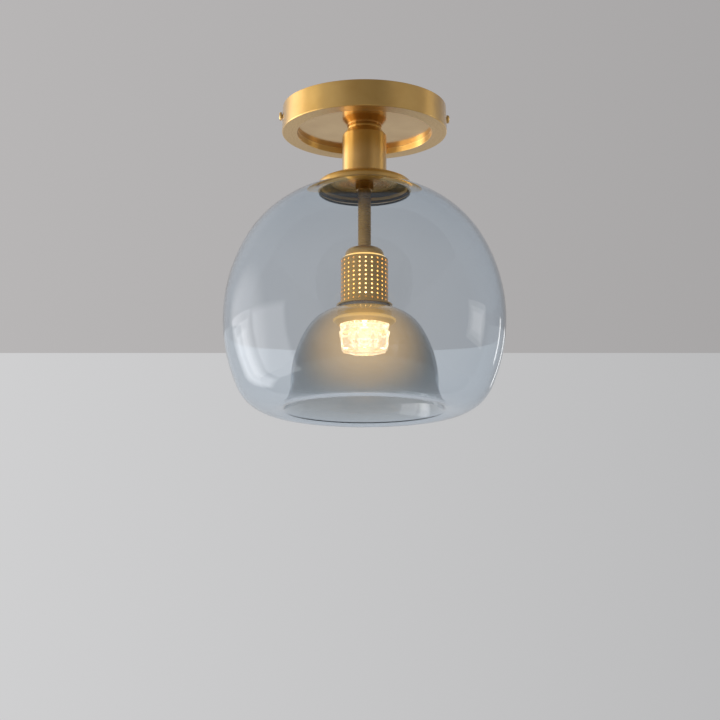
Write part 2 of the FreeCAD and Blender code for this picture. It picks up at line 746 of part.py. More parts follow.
def lamp_socket(doc):
    """Round webbed saddle, nut, ceramic socket and its two screws, inside the shell."""
    saddle_top = "stem_end_depth + shell_sheet"
    saddle = bent_strip(doc, "holder_saddle",
                        u_outline("saddle_reach", "saddle_sheet", saddle_top,
                                  "saddle_end_depth"), "saddle_width")
    spin(doc, saddle, "holder_saddle_web", [
        Corner("0", saddle_top), Corner("saddle_web_radius", saddle_top),
        Corner("saddle_web_radius", f"{saddle_top} + saddle_sheet"),
        Corner("0", f"{saddle_top} + saddle_sheet")])
    bore = new_sketch(saddle, "holder_saddle_bore", "XY_Plane")
    circle_in(bore, "0", "0", "stem_tail_radius + slide_fit")
    hole = pocket_through(doc, saddle, bore, "holder_saddle_punching")
    hole.Midplane = True
    sides = new_sketch(saddle, "holder_saddle_sides", "YZ_Plane")
    circle_in(sides, "0", "-socket_screw_depth", "socket_screw_radius + loose_fit")
    pocket_through(doc, saddle, sides, "holder_saddle_drilling")
    hex_nut(doc, "holder_nut", "nut_flats", "stem_tail_radius + slide_fit",
            f"{saddle_top} + saddle_sheet", "holder_nut_height")
    blank = cylinder(doc, "lamp_socket_blank", "socket_radius",
                     "socket_end_depth - socket_top_depth", ("0", "0", "-socket_end_depth"))
    holes = []
    for name, side in (("front", -1), ("rear", 1)):
        holes.append(cylinder(doc, f"lamp_socket_{name}_hole", "socket_pin_hole",
                              "socket_pin_hole_depth",
                              ("0", f"{side} * pin_spacing / 2", "-socket_end_depth")))
    screws = []
    for name, side in (("left", -1), ("right", 1)):
        bite = side_cylinder(doc, f"lamp_socket_{name}_bite", "socket_screw_radius + slide_fit",
                             "socket_screw_bite", side, "socket_radius - socket_screw_bite + loose_fit")
        holes.append(bite)
        shank = side_cylinder(doc, f"socket_screw_{name}_shank", "socket_screw_radius",
                              "saddle_reach - socket_radius + socket_screw_bite - face_gap", side,
                              "socket_radius - socket_screw_bite + face_gap")
        head = side_cylinder(doc, f"socket_screw_{name}_head", "socket_screw_head",
                             "socket_screw_cap", side, "saddle_reach")
        screw = doc.addObject("Part::Fuse", f"socket_screw_{name}")
        screw.Base = shank
        screw.Tool = head
        screws.append(screw)
    cut(doc, "lamp_socket", blank, holes)
    group(doc, "socket_screws", screws)


def side_cylinder(doc, name, radius, length, side, start):
    """A cylinder along X at the socket screws' depth, on the left (-1) or right (1)."""
    solid = cylinder(doc, name, radius, length, (f"{side} * ({start})", "0",
                                                 "-socket_screw_depth"))
    solid.Placement = FreeCAD.Placement(
        solid.Placement.Base, FreeCAD.Rotation(FreeCAD.Vector(0, 1, 0), 90 * side))
    return solid


def capsule_lamp(doc):
    """Two pin capsule lamp: pins, base, glass capsule and the light source in it."""
    pins = [cylinder(doc, f"lamp_pin_{name}", "pin_radius", "pin_length",
                     ("0", f"{side} * pin_spacing / 2", "-lamp_base_start"))
            for name, side in (("front", -1), ("rear", 1))]
    group(doc, "lamp_pins", pins)
    ring(doc, "lamp_base", "0", "lamp_base_radius", "lamp_base_start", "lamp_base_end")
    inner = "lamp_glass_radius - lamp_glass_wall"
    turned(doc, "lamp_glass", [
        Corner("lamp_glass_radius", "lamp_base_end"),
        Corner("lamp_glass_radius", "lamp_glass_end - lamp_glass_radius", "lamp_glass_radius", 1),
        Corner("0", "lamp_glass_end"),
        Corner("0", "lamp_glass_end - lamp_glass_wall", inner, -1),
        Corner(inner, "lamp_glass_end - lamp_glass_radius"),
        Corner(inner, "lamp_base_end")])
    ring(doc, "lamp_core", "0", "lamp_core_radius", "lamp_base_end", "lamp_core_end")


def glass_clamp(doc):
    """Flange, seals and screwed ring that clamp the crown of the glass bell."""
    flange_end = "sleeve_end_depth + flange_sheet"
    turned(doc, "holder_flange", [
        Corner("thread_bore", "flange_collar_depth"),
        Corner("sleeve_radius - sleeve_wall - slide_fit", "flange_collar_depth"),
        Corner("sleeve_radius - sleeve_wall - slide_fit", "sleeve_end_depth"),
        Corner("flange_radius", "sleeve_end_depth"),
        Corner("flange_radius", flange_end),
        Corner("thread_radius", flange_end),
        Corner("thread_radius", "thread_end_depth"),
        Corner("thread_bore", "thread_end_depth")])
    ring(doc, "upper_seal", "thread_radius + loose_fit", "upper_seal_radius",
         flange_end, f"{flange_end} + upper_seal_sheet")
    ring(doc, "lower_seal", "thread_radius + loose_fit", "lower_seal_radius",
         "lower_seal_top", "lower_seal_top + lower_seal_sheet")
    turned(doc, "retaining_ring", [
        Corner("ring_bore", "lower_seal_top + lower_seal_sheet"),
        Corner("ring_collar_radius", "lower_seal_top + lower_seal_sheet"),
        Corner("ring_collar_radius", "ring_flange_top - ring_step"),
        Corner("ring_radius - ring_chamfer", "ring_flange_top"),
        Corner("ring_radius", "ring_flange_top + ring_chamfer"),
        Corner("ring_radius", "ring_flange_edge"),
        Corner("ring_mouth_radius", "ring_end_depth"),
        Corner("ring_seat_radius", "ring_end_depth"),
        Corner("ring_seat_radius", "ring_seat_depth"),
        Corner("ring_bore", "ring_seat_depth")])


def facet_ring(depth, radius):
    """One ring of the crystal's facets, as a closed polygon."""
    count = SIZES["crystal_facets"]
    corners = []
    for step in range(count + 1):
        angle = math.radians(SIZES["crystal_turn"] - 90 + step * 360 / count)
        corners.append(FreeCAD.Vector(radius * math.cos(angle), radius * math.sin(angle), -depth))
    corners[-1] = corners[0]
    return Part.makePolygon(corners)


def crystal_lens(doc):
    """Cut crystal cup: a round collar in the ring's seat and two tiers of facets."""
    rings = [facet_ring(depth, radius) for depth, radius in CRYSTAL_RINGS]
    tiers = Part.makeLoft(rings, True, True)
    top = SIZES["crystal_top_depth"]
    collar = Part.makeCylinder(SIZES["crystal_collar_radius"], CRYSTAL_RINGS[0][0] - top,
                               FreeCAD.Vector(0, 0, -CRYSTAL_RINGS[0][0]))
    bore = SIZES["crystal_bore"]
    floor = SIZES["crystal_bore_end"]
    hollow = Part.makeCylinder(bore, floor - bore - top + 1,
                               FreeCAD.Vector(0, 0, -(floor - bore)))
    bowl = Part.makeSphere(bore, FreeCAD.Vector(0, 0, -(floor - bore)))
    feature(doc, "crystal_lens", tiers.fuse(collar).cut(hollow.fuse(bowl)).removeSplitter())


def arc_chain(start, heading, arcs):
    """Edges of a chain of tangent arcs, each a (radius, turn) pair, from start on."""
    edges = []
    spot = start
    for radius, turn in arcs:
        side = 1 if turn > 0 else -1
        normal = FreeCAD.Vector(-math.sin(heading), 0, math.cos(heading)) * side
        centre = spot + normal * radius
        spots = [spot]
        for share in (0.5, 1.0):
            angle = heading + math.radians(turn) * share
            away = FreeCAD.Vector(math.sin(angle), 0, -math.cos(angle)) * side
            spots.append(centre + away * radius)
        edges.append(Part.Arc(*spots).toShape())
        heading += math.radians(turn)
        spot = spots[-1]
    return edges, spot


def glass_shade(doc):
    """One piece blown glass shade: a globe whose rim folds up into the inner bell."""
    wall = SIZES["glass_wall"]
    heading = -math.radians(SIZES["glass_mouth_slope"])
    outer_start = FreeCAD.Vector(SIZES["glass_mouth_radius"], 0, -SIZES["glass_mouth_depth"])
    inner_start = outer_start + FreeCAD.Vector(math.sin(heading), 0, -math.cos(heading)) * wall
    outer_arcs = [(radius, turn) for _, radius, turn in GLASS_ARCS]
    inner_arcs = [(radius + wall if turn > 0 else radius - wall, turn)
                  for radius, turn in outer_arcs]
    outer, outer_end = arc_chain(outer_start, heading, outer_arcs)
    inner, inner_end = arc_chain(inner_start, heading, inner_arcs)
    closing = [Part.makeLine(outer_end, inner_end), Part.makeLine(inner_start, outer_start)]
    section = Part.Face(Part.Wire(Part.__sortEdges__(outer + inner + closing)))
    shade = section.revolve(FreeCAD.Vector(0, 0, 0), FreeCAD.Vector(0, 0, 1), 360)
    print("glass: crown hole radius", round(inner_end.x, 2), "crown depth",
          round(-inner_end.z, 2), "to", round(-outer_end.z, 2),
          "lowest", round(shade.BoundBox.ZMin, 2), "widest", round(shade.BoundBox.XMax, 2))
    feature(doc, "glass_shade", shade)


def lead(doc, label, route, radius):
    """A wire: straight runs joined by tangent arcs as large as the runs allow."""
    edges = []
    spot = route[0]
    for before, corner, after in zip(route, route[1:], route[2:]):
        back = (before - corner)
        ahead = (after - corner)
        shorter = min(back.Length, ahead.Length)
        half_turn = (math.pi - back.getAngle(ahead)) / 2
        setback = SIZES["lead_bend_share"] * shorter
        bend = setback / math.tan(half_turn)
        first = corner + back.normalize() * setback
        last = corner + ahead.normalize() * setback
        inward = (back + ahead).normalize()
        middle = corner + inward * (bend / math.cos(half_turn) - bend)
        edges.append(Part.makeLine(spot, first))
        edges.append(Part.Arc(first, middle, last).toShape())
        spot = last
        print(label, "bend radius", round(bend, 1))
    edges.append(Part.makeLine(spot, route[-1]))
    path = Part.Wire(edges)
    start = route[0]
    profile = Part.Wire(Part.makeCircle(radius, start, route[1] - route[0]))
    tube = path.makePipeShell([profile], True, False)
    expected = path.Length * math.pi * radius ** 2
    print(label, "volume ratio", round(tube.Volume / expected, 4))
    feature(doc, label, tube)


def wiring(doc):
    """Two supply leads from the block down to the socket, and the earth lead."""
    offset = SIZES["lead_offset"]
    arch = -SIZES["lead_arch_depth"]
    entry = -SIZES["lead_entry_depth"]
    face = SIZES["block_start"]
    pole = SIZES["block_pitch"] / 2
    for label, side in (("live_lead", 1), ("neutral_lead", -1)):
        lead(doc, label, [
            FreeCAD.Vector(side * offset, 0, -SIZES["socket_top_depth"]),
            FreeCAD.Vector(side * offset, 0, arch),
            FreeCAD.Vector(side * (offset + pole) / 2, (face + 1) / 2, arch),
            FreeCAD.Vector(side * pole, face - SIZES["lead_tail"], entry),
            FreeCAD.Vector(side * pole, face, entry)], SIZES["lead_radius"])
    tag_end = -SIZES["tag_reach"]
    floor = SIZES["canopy_depth"] - SIZES["recess_height"] - SIZES["canopy_sheet"]
    tag_depth = floor - SIZES["lock_washer_sheet"] - SIZES["tag_sheet"] / 2 - SIZES["slide_fit"]
    post = -SIZES["earth_screw_offset"]
    head = SIZES["bar_sheet"] + SIZES["earth_head_height"]
    lead(doc, "earth_lead", [
        FreeCAD.Vector(tag_end, 0, -tag_depth),
        FreeCAD.Vector(post, 0, -tag_depth),
        FreeCAD.Vector(post, 0, -head)], SIZES["earth_lead_radius"])


def build(doc):
    """Build every piece, from the ceiling down."""
    make_sheet(doc)
    ceiling_bracket(doc)
    canopy(doc)
    side_screw(doc, "right", 0)
    side_screw(doc, "left", 180)
    canopy_hardware(doc)
    terminal_block(doc)
    neck(doc)
    glass_cap(doc)
    cap_lining(doc)
    stem_parts(doc)
    holder_shell(doc)
    lamp_socket(doc)
    capsule_lamp(doc)
    glass_clamp(doc)
    crystal_lens(doc)
    glass_shade(doc)
    wiring(doc)
    doc.recompute()


NODES = (
    "ceiling_bracket", "canopy", "canopy_screw_left", "canopy_screw_right", "threaded_tube",
    "lock_washer", "earth_tag", "canopy_nut", "earth_screw", "terminal_block",
    "terminal_screws", "neck", "glass_cap", "cap_liner", "cap_seal", "cap_stiffener",
    "stem_nut", "stem", "holder_cap", "holder_sleeve", "holder_saddle", "holder_nut",
    "lamp_socket", "socket_screws", "lamp_pins", "lamp_base", "lamp_glass", "lamp_core",
    "holder_flange", "upper_seal", "lower_seal", "retaining_ring", "crystal_lens",
    "glass_shade", "live_lead", "neutral_lead", "earth_lead",
)


def export(doc):
    """Check every object and every piece, then write one file per piece."""
    for item in doc.Objects:
        if {"Invalid", "Error"} & set(item.State):
            raise RuntimeError(f"{item.Label} failed: {item.State}")
    pieces = []
    for node in NODES:
        piece = doc.getObjectsByLabel(node)[0]
        if piece.Shape.isNull() or not piece.Shape.isValid() or not piece.Shape.Solids:
            raise RuntimeError(f"{node} has no valid solid")
        pieces.append(piece)
    os.makedirs("parts", exist_ok=True)
    for piece in pieces:
        piece.Shape.exportStep(os.path.join("parts", piece.Label + ".step"))
        print(piece.Label, "volume", round(piece.Shape.Volume, 1), "mm3")


document = FreeCAD.newDocument("semi_flush_ceiling_light")
build(document)
export(document)
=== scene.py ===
"""Looks of a semi flush ceiling light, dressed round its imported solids.

A brass canopy and neck carry a smoked glass globe whose bottom folds up into an
inner bell. A perforated lamp holder hangs on a thin stem inside the globe, and a
cut crystal lens glows under the bell's crown. Lengths in the classes are in
millimetres, and every depth is a distance below the ceiling face at z = 0.
"""

import logging
import math
from dataclasses import dataclass
from enum import Enum
from typing import Any, Mapping, Optional, Sequence

import bmesh
import bpy
import numpy as np
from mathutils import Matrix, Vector


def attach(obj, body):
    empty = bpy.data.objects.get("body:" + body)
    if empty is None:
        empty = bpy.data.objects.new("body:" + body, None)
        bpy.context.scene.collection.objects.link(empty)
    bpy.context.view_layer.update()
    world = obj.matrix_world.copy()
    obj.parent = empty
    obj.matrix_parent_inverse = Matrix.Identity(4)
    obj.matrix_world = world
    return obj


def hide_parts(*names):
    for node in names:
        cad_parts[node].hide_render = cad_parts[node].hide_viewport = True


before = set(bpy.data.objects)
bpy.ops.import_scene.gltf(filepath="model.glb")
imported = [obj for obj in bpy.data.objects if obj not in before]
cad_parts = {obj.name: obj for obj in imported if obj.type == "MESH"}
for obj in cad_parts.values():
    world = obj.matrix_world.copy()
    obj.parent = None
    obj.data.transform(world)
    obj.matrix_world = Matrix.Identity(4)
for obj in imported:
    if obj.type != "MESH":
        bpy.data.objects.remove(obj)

LOG = logging.getLogger("ceiling_light")
MM = 0.001
NOISE_RANGE = {"From Min": 0.3, "From Max": 0.7}
MAX_SETBACK = 0.45
SUPPORT_SHARE = 0.3
TINY = 1e-9
TINY_TURN = 1e-6
SAME_POINT_MM = 1e-5
ON_AXIS_MM = 1e-6
WELD_M = 1e-7
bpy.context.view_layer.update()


class Body(Enum):
    """The bodies that the new pieces ride on."""

    FIXTURE = "fixture"
    SHADE = "shade"
    LENS = "lens"


# ---------------------------------------------------------------- node helpers


def linear(hex_colour: str) -> tuple[float, float, float, float]:
    """Turn an sRGB hex colour into linear values.

    Args:
        hex_colour: Six hex digits, such as "c9a063".

    Returns:
        Red, green, blue and an alpha of 1 for a colour socket.
    """
    channels = np.array([int(hex_colour[i:i + 2], 16) for i in (0, 2, 4)]) / 255
    turned = np.where(channels <= 0.04045, channels / 12.92, ((channels + 0.055) / 1.055) ** 2.4)
    return (*(float(c) for c in turned), 1.0)


def add_node(tree: bpy.types.NodeTree, kind: str, inputs: Optional[Mapping[Any, Any]] = None,
             **settings: Any) -> bpy.types.Node:
    """Add a node with its settings, constants and links.

    Args:
        tree: The node tree.
        kind: The node's type name.
        inputs: Socket name or index, with a constant or an output socket to link.
        **settings: The node's own properties.

    Returns:
        The new node.
    """
    node = tree.nodes.new(kind)
    for name, setting in settings.items():
        setattr(node, name, setting)
    for socket, source in (inputs or {}).items():
        if isinstance(source, bpy.types.NodeSocket):
            tree.links.new(source, node.inputs[socket])
        else:
            node.inputs[socket].default_value = source
    return node


def new_material(name: str) -> tuple[bpy.types.Material, bpy.types.NodeTree]:
    """Make an empty node material.

    Args:
        name: The finish's name.

    Returns:
        The material and its node tree, with nothing in it.
    """
    material = bpy.data.materials.new(name)
    material.use_nodes = True
    material.node_tree.nodes.clear()
    return material, material.node_tree


def close_material(tree: bpy.types.NodeTree, surface: bpy.types.NodeSocket,
                   volume: Optional[bpy.types.NodeSocket] = None) -> None:
    """Link a surface, and a volume if there is one, to the material's output."""
    links = {"Surface": surface}
    if volume is not None:
        links["Volume"] = volume
    add_node(tree, "ShaderNodeOutputMaterial", links)


def axis_distance(tree: bpy.types.NodeTree) -> bpy.types.NodeSocket:
    """Distance from the lamp's axis, in metres."""
    place = add_node(tree, "ShaderNodeTexCoord").outputs["Object"]
    flat = add_node(tree, "ShaderNodeVectorMath", {0: place, 1: (1.0, 1.0, 0.0)},
                    operation="MULTIPLY")
    radius = add_node(tree, "ShaderNodeVectorMath", {0: flat.outputs[0]}, operation="LENGTH")
    return radius.outputs["Value"]


def turned_grain(tree: bpy.types.NodeTree, pitch_mm: float, drift: float,
                 detail: float = 3.0, gain: float = 0.6) -> bpy.types.NodeSocket:
    """Noise that runs round the lamp's axis, as lathe marks do.

    The noise is read at (distance from the axis, height, a little of x), so it
    changes fast across the rings and slowly along them.

    Args:
        tree: The material's tree.
        pitch_mm: Spacing of the marks.
        drift: Share of x that is let in, which breaks the rings up.
        detail: Octaves of finer marks.
        gain: How much each octave adds.

    Returns:
        The noise, from 0 to 1.
    """
    place = add_node(tree, "ShaderNodeTexCoord").outputs["Object"]
    split = add_node(tree, "ShaderNodeSeparateXYZ", {0: place})
    along = add_node(tree, "ShaderNodeMath", {0: split.outputs["X"], 1: drift},
                     operation="MULTIPLY")
    lathe = add_node(tree, "ShaderNodeCombineXYZ", {
        "X": axis_distance(tree), "Y": split.outputs["Z"], "Z": along.outputs[0]})
    noise = add_node(tree, "ShaderNodeTexNoise", {
        "Vector": lathe.outputs[0], "Scale": 1 / (pitch_mm * MM), "Detail": detail,
        "Roughness": gain})
    return noise.outputs["Fac"]


def mottle(tree: bpy.types.NodeTree, size_mm: float, detail: float = 3.0) -> bpy.types.NodeSocket:
    """Even noise whose patches are about size_mm across, on Object coordinates."""
    place = add_node(tree, "ShaderNodeTexCoord").outputs["Object"]
    noise = add_node(tree, "ShaderNodeTexNoise", {
        "Vector": place, "Scale": 1 / (size_mm * MM), "Detail": detail})
    return noise.outputs["Fac"]


def tint(tree: bpy.types.NodeTree, share: bpy.types.NodeSocket, first: str,
         second: str) -> bpy.types.NodeSocket:
    """Colour that goes from first to second over a noise's usual range."""
    ramp = add_node(tree, "ShaderNodeValToRGB", {"Fac": share})
    for stop, position, colour in zip(ramp.color_ramp.elements, NOISE_RANGE.values(),
                                      (first, second)):
        stop.position = position
        stop.color = linear(colour)
    return ramp.outputs["Color"]


# -------------------------------------------------------------------- finishes


@dataclass(frozen=True)
class TurnedBrass:
    """Brass turned on a lathe and lacquered: rings of fine marks, satin gloss."""

    name: str
    light: str = "ebbe66"
    dark: str = "dcab52"
    roughness: tuple[float, float] = (0.34, 0.42)
    anisotropy: float = 0.92
    pitch_mm: float = 0.5
    depth_mm: float = 0.003
    patch_mm: float = 30.0
    # These three set a painted glow: warm emission on the metal between two radii from the axis,
    # standing in for the lamp's light.
    painted_glow_from_mm: float = 0.0
    painted_glow_to_mm: float = 0.0
    lit: float = 0.0
    lacquer: float = 1.0
    lacquer_ior: float = 1.6
    lacquer_roughness: float = 0.22
    smear_turn: float = 0.25
    drift: float = 0.03
    mark_strength: float = 0.5
    # Colour of the painted glow.
    painted_glow_colour: str = "ffcf78"

    def material(self) -> bpy.types.Material:
        """Rings of marks smear a highlight across them, up and down a round side.

        The marks are 0.5 mm apart, coarser than real ones, so that they show. The
        lacquer gives the pale highlight over the golden one. Metal between the two
        radii gets a painted glow: warm emission standing in for the lamp's light beside it.
        """
        material, tree = new_material(self.name)
        marks = turned_grain(tree, self.pitch_mm, self.drift)
        patches = mottle(tree, self.patch_mm)
        gloss = add_node(tree, "ShaderNodeMapRange", {
            "Value": marks, **NOISE_RANGE, "To Min": self.roughness[0],
            "To Max": self.roughness[1]})
        relief = add_node(tree, "ShaderNodeBump", {
            "Height": marks, "Distance": self.depth_mm * MM, "Strength": self.mark_strength})
        inputs = {
            "Base Color": tint(tree, patches, self.dark, self.light),
            "Metallic": 1.0, "Roughness": gloss.outputs[0],
            "Anisotropic": self.anisotropy, "Anisotropic Rotation": self.smear_turn,
            "Coat Weight": self.lacquer, "Coat IOR": self.lacquer_ior,
            "Coat Roughness": self.lacquer_roughness, "Normal": relief.outputs[0]}
        # Painted glow: warm emission between the two radii stands in for the lamp's light on the
        # metal.
        if self.lit > 0:
            middle = (self.painted_glow_from_mm + self.painted_glow_to_mm) / 2 * MM
            inside = add_node(tree, "ShaderNodeMath", {
                0: axis_distance(tree), 1: middle, 2: self.painted_glow_to_mm * MM - middle},
                operation="COMPARE")
            level = add_node(tree, "ShaderNodeMath", {0: inside.outputs[0], 1: self.lit},
                             operation="MULTIPLY")
            inputs["Emission Color"] = linear(self.painted_glow_colour)
            inputs["Emission Strength"] = level.outputs[0]
        shader = add_node(tree, "ShaderNodeBsdfPrincipled", inputs)
        close_material(tree, shader.outputs[0])
        return material


@dataclass(frozen=True)
class SmokedGlass:
    """Blown soda glass with a grey blue smoke in it: clear, darker where it is thick."""

    name: str
    smoke: str = "5db0dc"
    density: float = 56.0
    # The bell's wall is tinted darker and warmer than the globe's, inside these radii and below
    # this depth.
    bell_tint: str = "cac6bf"
    bell_edge_mm: tuple[float, float] = (60.0, 75.0)
    bell_top_mm: float = 150.0
    # The next five fields set a painted halo: warm emission on the glass, in place of the
    # crystal's light shining on it.
    painted_halo_centre_mm: tuple[float, float, float] = (-2.7, -52.0, -226.0)
    painted_halo_start_mm: float = 8.0
    painted_halo_end_mm: float = 66.0
    painted_halo: float = 0.3
    painted_halo_colour: str = "ffc97a"
    ior: float = 1.5
    wave_mm: float = 45.0
    wave_detail: float = 1.0
    wave_depth_mm: float = 0.25
    wave_strength: float = 0.25

    def material(self) -> bpy.types.Material:
        """Clear shader with a volume that absorbs more red than blue.

        The bell's wall gets a darker, warmer base colour than the globe's. Its wall
        gets a painted warm halo, emission that fades with distance from the place
        where the crystal shines on it.
        """
        material, tree = new_material(self.name)
        waves = mottle(tree, self.wave_mm, self.wave_detail)
        place = add_node(tree, "ShaderNodeTexCoord").outputs["Object"]
        split = add_node(tree, "ShaderNodeSeparateXYZ", {0: place})
        low = add_node(tree, "ShaderNodeMath", {
            0: split.outputs["Z"], 1: -self.bell_top_mm * MM}, operation="LESS_THAN")
        bell = add_node(tree, "ShaderNodeMapRange", {
            "Value": axis_distance(tree), "From Min": self.bell_edge_mm[0] * MM,
            "From Max": self.bell_edge_mm[1] * MM, "To Min": low.outputs[0], "To Max": 0.0},
            interpolation_type="SMOOTHSTEP")
        colour = add_node(tree, "ShaderNodeMix", {
            "Factor": bell.outputs["Result"], 6: (1.0, 1.0, 1.0, 1.0),
            7: linear(self.bell_tint)}, data_type="RGBA")
        # Painted halo: emission that fades with distance from the crystal.
        away = add_node(tree, "ShaderNodeVectorMath", {
            0: place, 1: tuple(part * MM for part in self.painted_halo_centre_mm)},
            operation="DISTANCE")
        fade = add_node(tree, "ShaderNodeMapRange", {
            "Value": away.outputs["Value"], "From Min": self.painted_halo_start_mm * MM,
            "From Max": self.painted_halo_end_mm * MM, "To Min": self.painted_halo, "To Max": 0.0},
            interpolation_type="SMOOTHSTEP")
        relief = add_node(tree, "ShaderNodeBump", {
            "Height": waves, "Distance": self.wave_depth_mm * MM,
            "Strength": self.wave_strength})
        shader = add_node(tree, "ShaderNodeBsdfPrincipled", {
            "Base Color": colour.outputs[2], "Roughness": 0.0, "IOR": self.ior,
            "Transmission Weight": 1.0, "Normal": relief.outputs[0],
            "Emission Color": linear(self.painted_halo_colour),
            "Emission Strength": fade.outputs["Result"]})
        smoke = add_node(tree, "ShaderNodeVolumeAbsorption", {
            "Color": linear(self.smoke), "Density": self.density})
        close_material(tree, shader.outputs[0], smoke.outputs[0])
        return material


@dataclass(frozen=True)
class CutCrystal:
    """Cut lead crystal over a lit lamp: clear facets with a painted warm white glow."""

    name: str
    # The fields below set a painted glow with painted golden glints: emission in place of the
    # lamp's light in the facets.
    glow: str = "fff6e4"
    painted_glint_gold: str = "e9b566"
    strength: float = 0.55
    painted_glint_mm: float = 3.0
    painted_glint_detail: float = 2.0
    roughness: float = 0.03
    ior: float = 1.55

    def material(self) -> bpy.types.Material:
        """Sharp refraction, with a painted glow that stands in for the light the facets throw
        about.

        Painted glints about 3 mm across turn parts of the facets golden.
        """
        material, tree = new_material(self.name)
        # Painted glints: noise patches between golden and warm white emission.
        painted_glint = mottle(tree, self.painted_glint_mm, self.painted_glint_detail)
        shader = add_node(tree, "ShaderNodeBsdfPrincipled", {
            "Base Color": (1.0, 1.0, 1.0, 1.0), "Roughness": self.roughness,
            "IOR": self.ior, "Transmission Weight": 1.0,
            "Emission Color": tint(tree, painted_glint, self.painted_glint_gold, self.glow),
            "Emission Strength": self.strength})
        close_material(tree, shader.outputs[0])
        return material


@dataclass(frozen=True)
class ClearMoulding:
    """Clear or milky moulded part, such as a silicone seal or a lamp's capsule."""

    name: str
    colour: str
    roughness: float
    ior: float
    clear: float
    patch_mm: float = 6.0
    haze: float = 0.08

    def material(self) -> bpy.types.Material:
        """Part of the light goes through and part is scattered at the surface."""
        material, tree = new_material(self.name)
        patches = mottle(tree, self.patch_mm)
        gloss = add_node(tree, "ShaderNodeMapRange", {
            "Value": patches, **NOISE_RANGE, "To Min": self.roughness,
            "To Max": self.roughness + self.haze})
        shader = add_node(tree, "ShaderNodeBsdfPrincipled", {
            "Base Color": linear(self.colour), "Roughness": gloss.outputs[0],
            "IOR": self.ior, "Transmission Weight": self.clear})
        close_material(tree, shader.outputs[0])
        return material


@dataclass(frozen=True)
class PlatedSteel:
    """Zinc plated pressed steel: grey with a faint blue and yellow bloom."""

    name: str
    light: str = "b9bab6"
    dark: str = "98999a"
    roughness: tuple[float, float] = (0.3, 0.45)
    patch_mm: float = 8.0
    grain_mm: float = 0.8
    grain_depth_mm: float = 0.01
    grain_strength: float = 0.3

    def material(self) -> bpy.types.Material:
        """Soft cloudy gloss, with the patches about 8 mm across."""
        material, tree = new_material(self.name)
        patches = mottle(tree, self.patch_mm)
        grain = mottle(tree, self.grain_mm)
        gloss = add_node(tree, "ShaderNodeMapRange", {
            "Value": patches, **NOISE_RANGE, "To Min": self.roughness[0],
            "To Max": self.roughness[1]})
        relief = add_node(tree, "ShaderNodeBump", {
            "Height": grain, "Distance": self.grain_depth_mm * MM,
            "Strength": self.grain_strength})
        shader = add_node(tree, "ShaderNodeBsdfPrincipled", {
            "Base Color": tint(tree, patches, self.dark, self.light), "Metallic": 1.0,
            "Roughness": gloss.outputs[0], "Normal": relief.outputs[0]})
        close_material(tree, shader.outputs[0])
        return material


@dataclass(frozen=True)
class Moulding:
    """Matte moulded or fired part: ceramic, polyamide or wire insulation."""

    name: str
    light: str
    dark: str
    roughness: float
    grain_mm: float
    # Painted glow: warm emission standing in for the lamp's light on a part beside it.
    glow: float = 0.0
    painted_glow_colour: str = "ffdca0"
    unevenness: float = 0.06
    grain_depth_mm: float = 0.02
    grain_strength: float = 0.3

    def material(self) -> bpy.types.Material:
        """Fine grain in colour and height; ceramic by the lamp gets a painted warm glow in place
        of the lamp's light.
        """
        material, tree = new_material(self.name)
        grain = mottle(tree, self.grain_mm)
        gloss = add_node(tree, "ShaderNodeMapRange", {
            "Value": grain, **NOISE_RANGE, "To Min": self.roughness - self.unevenness,
            "To Max": self.roughness + self.unevenness})
        relief = add_node(tree, "ShaderNodeBump", {
            "Height": grain, "Distance": self.grain_depth_mm * MM,
            "Strength": self.grain_strength})
        shader = add_node(tree, "ShaderNodeBsdfPrincipled", {
            "Base Color": tint(tree, grain, self.dark, self.light),
            "Roughness": gloss.outputs[0], "Normal": relief.outputs[0],
            "Emission Color": linear(self.painted_glow_colour), "Emission Strength": self.glow})
        close_material(tree, shader.outputs[0])
        return material


@dataclass(frozen=True)
class Phosphor:
    """Warm white light source inside the lamp's capsule."""

    name: str
    colour: str = "ffd9a8"
    strength: float = 7.0
    body: str = "f4e7c8"
    roughness: float = 0.5

    def material(self) -> bpy.types.Material:
        """The one part that makes light."""
        material, tree = new_material(self.name)
        shader = add_node(tree, "ShaderNodeBsdfPrincipled", {
            "Base Color": linear(self.body), "Roughness": self.roughness,
            "Emission Color": linear(self.colour), "Emission Strength": self.strength})
        close_material(tree, shader.outputs[0])
        return material


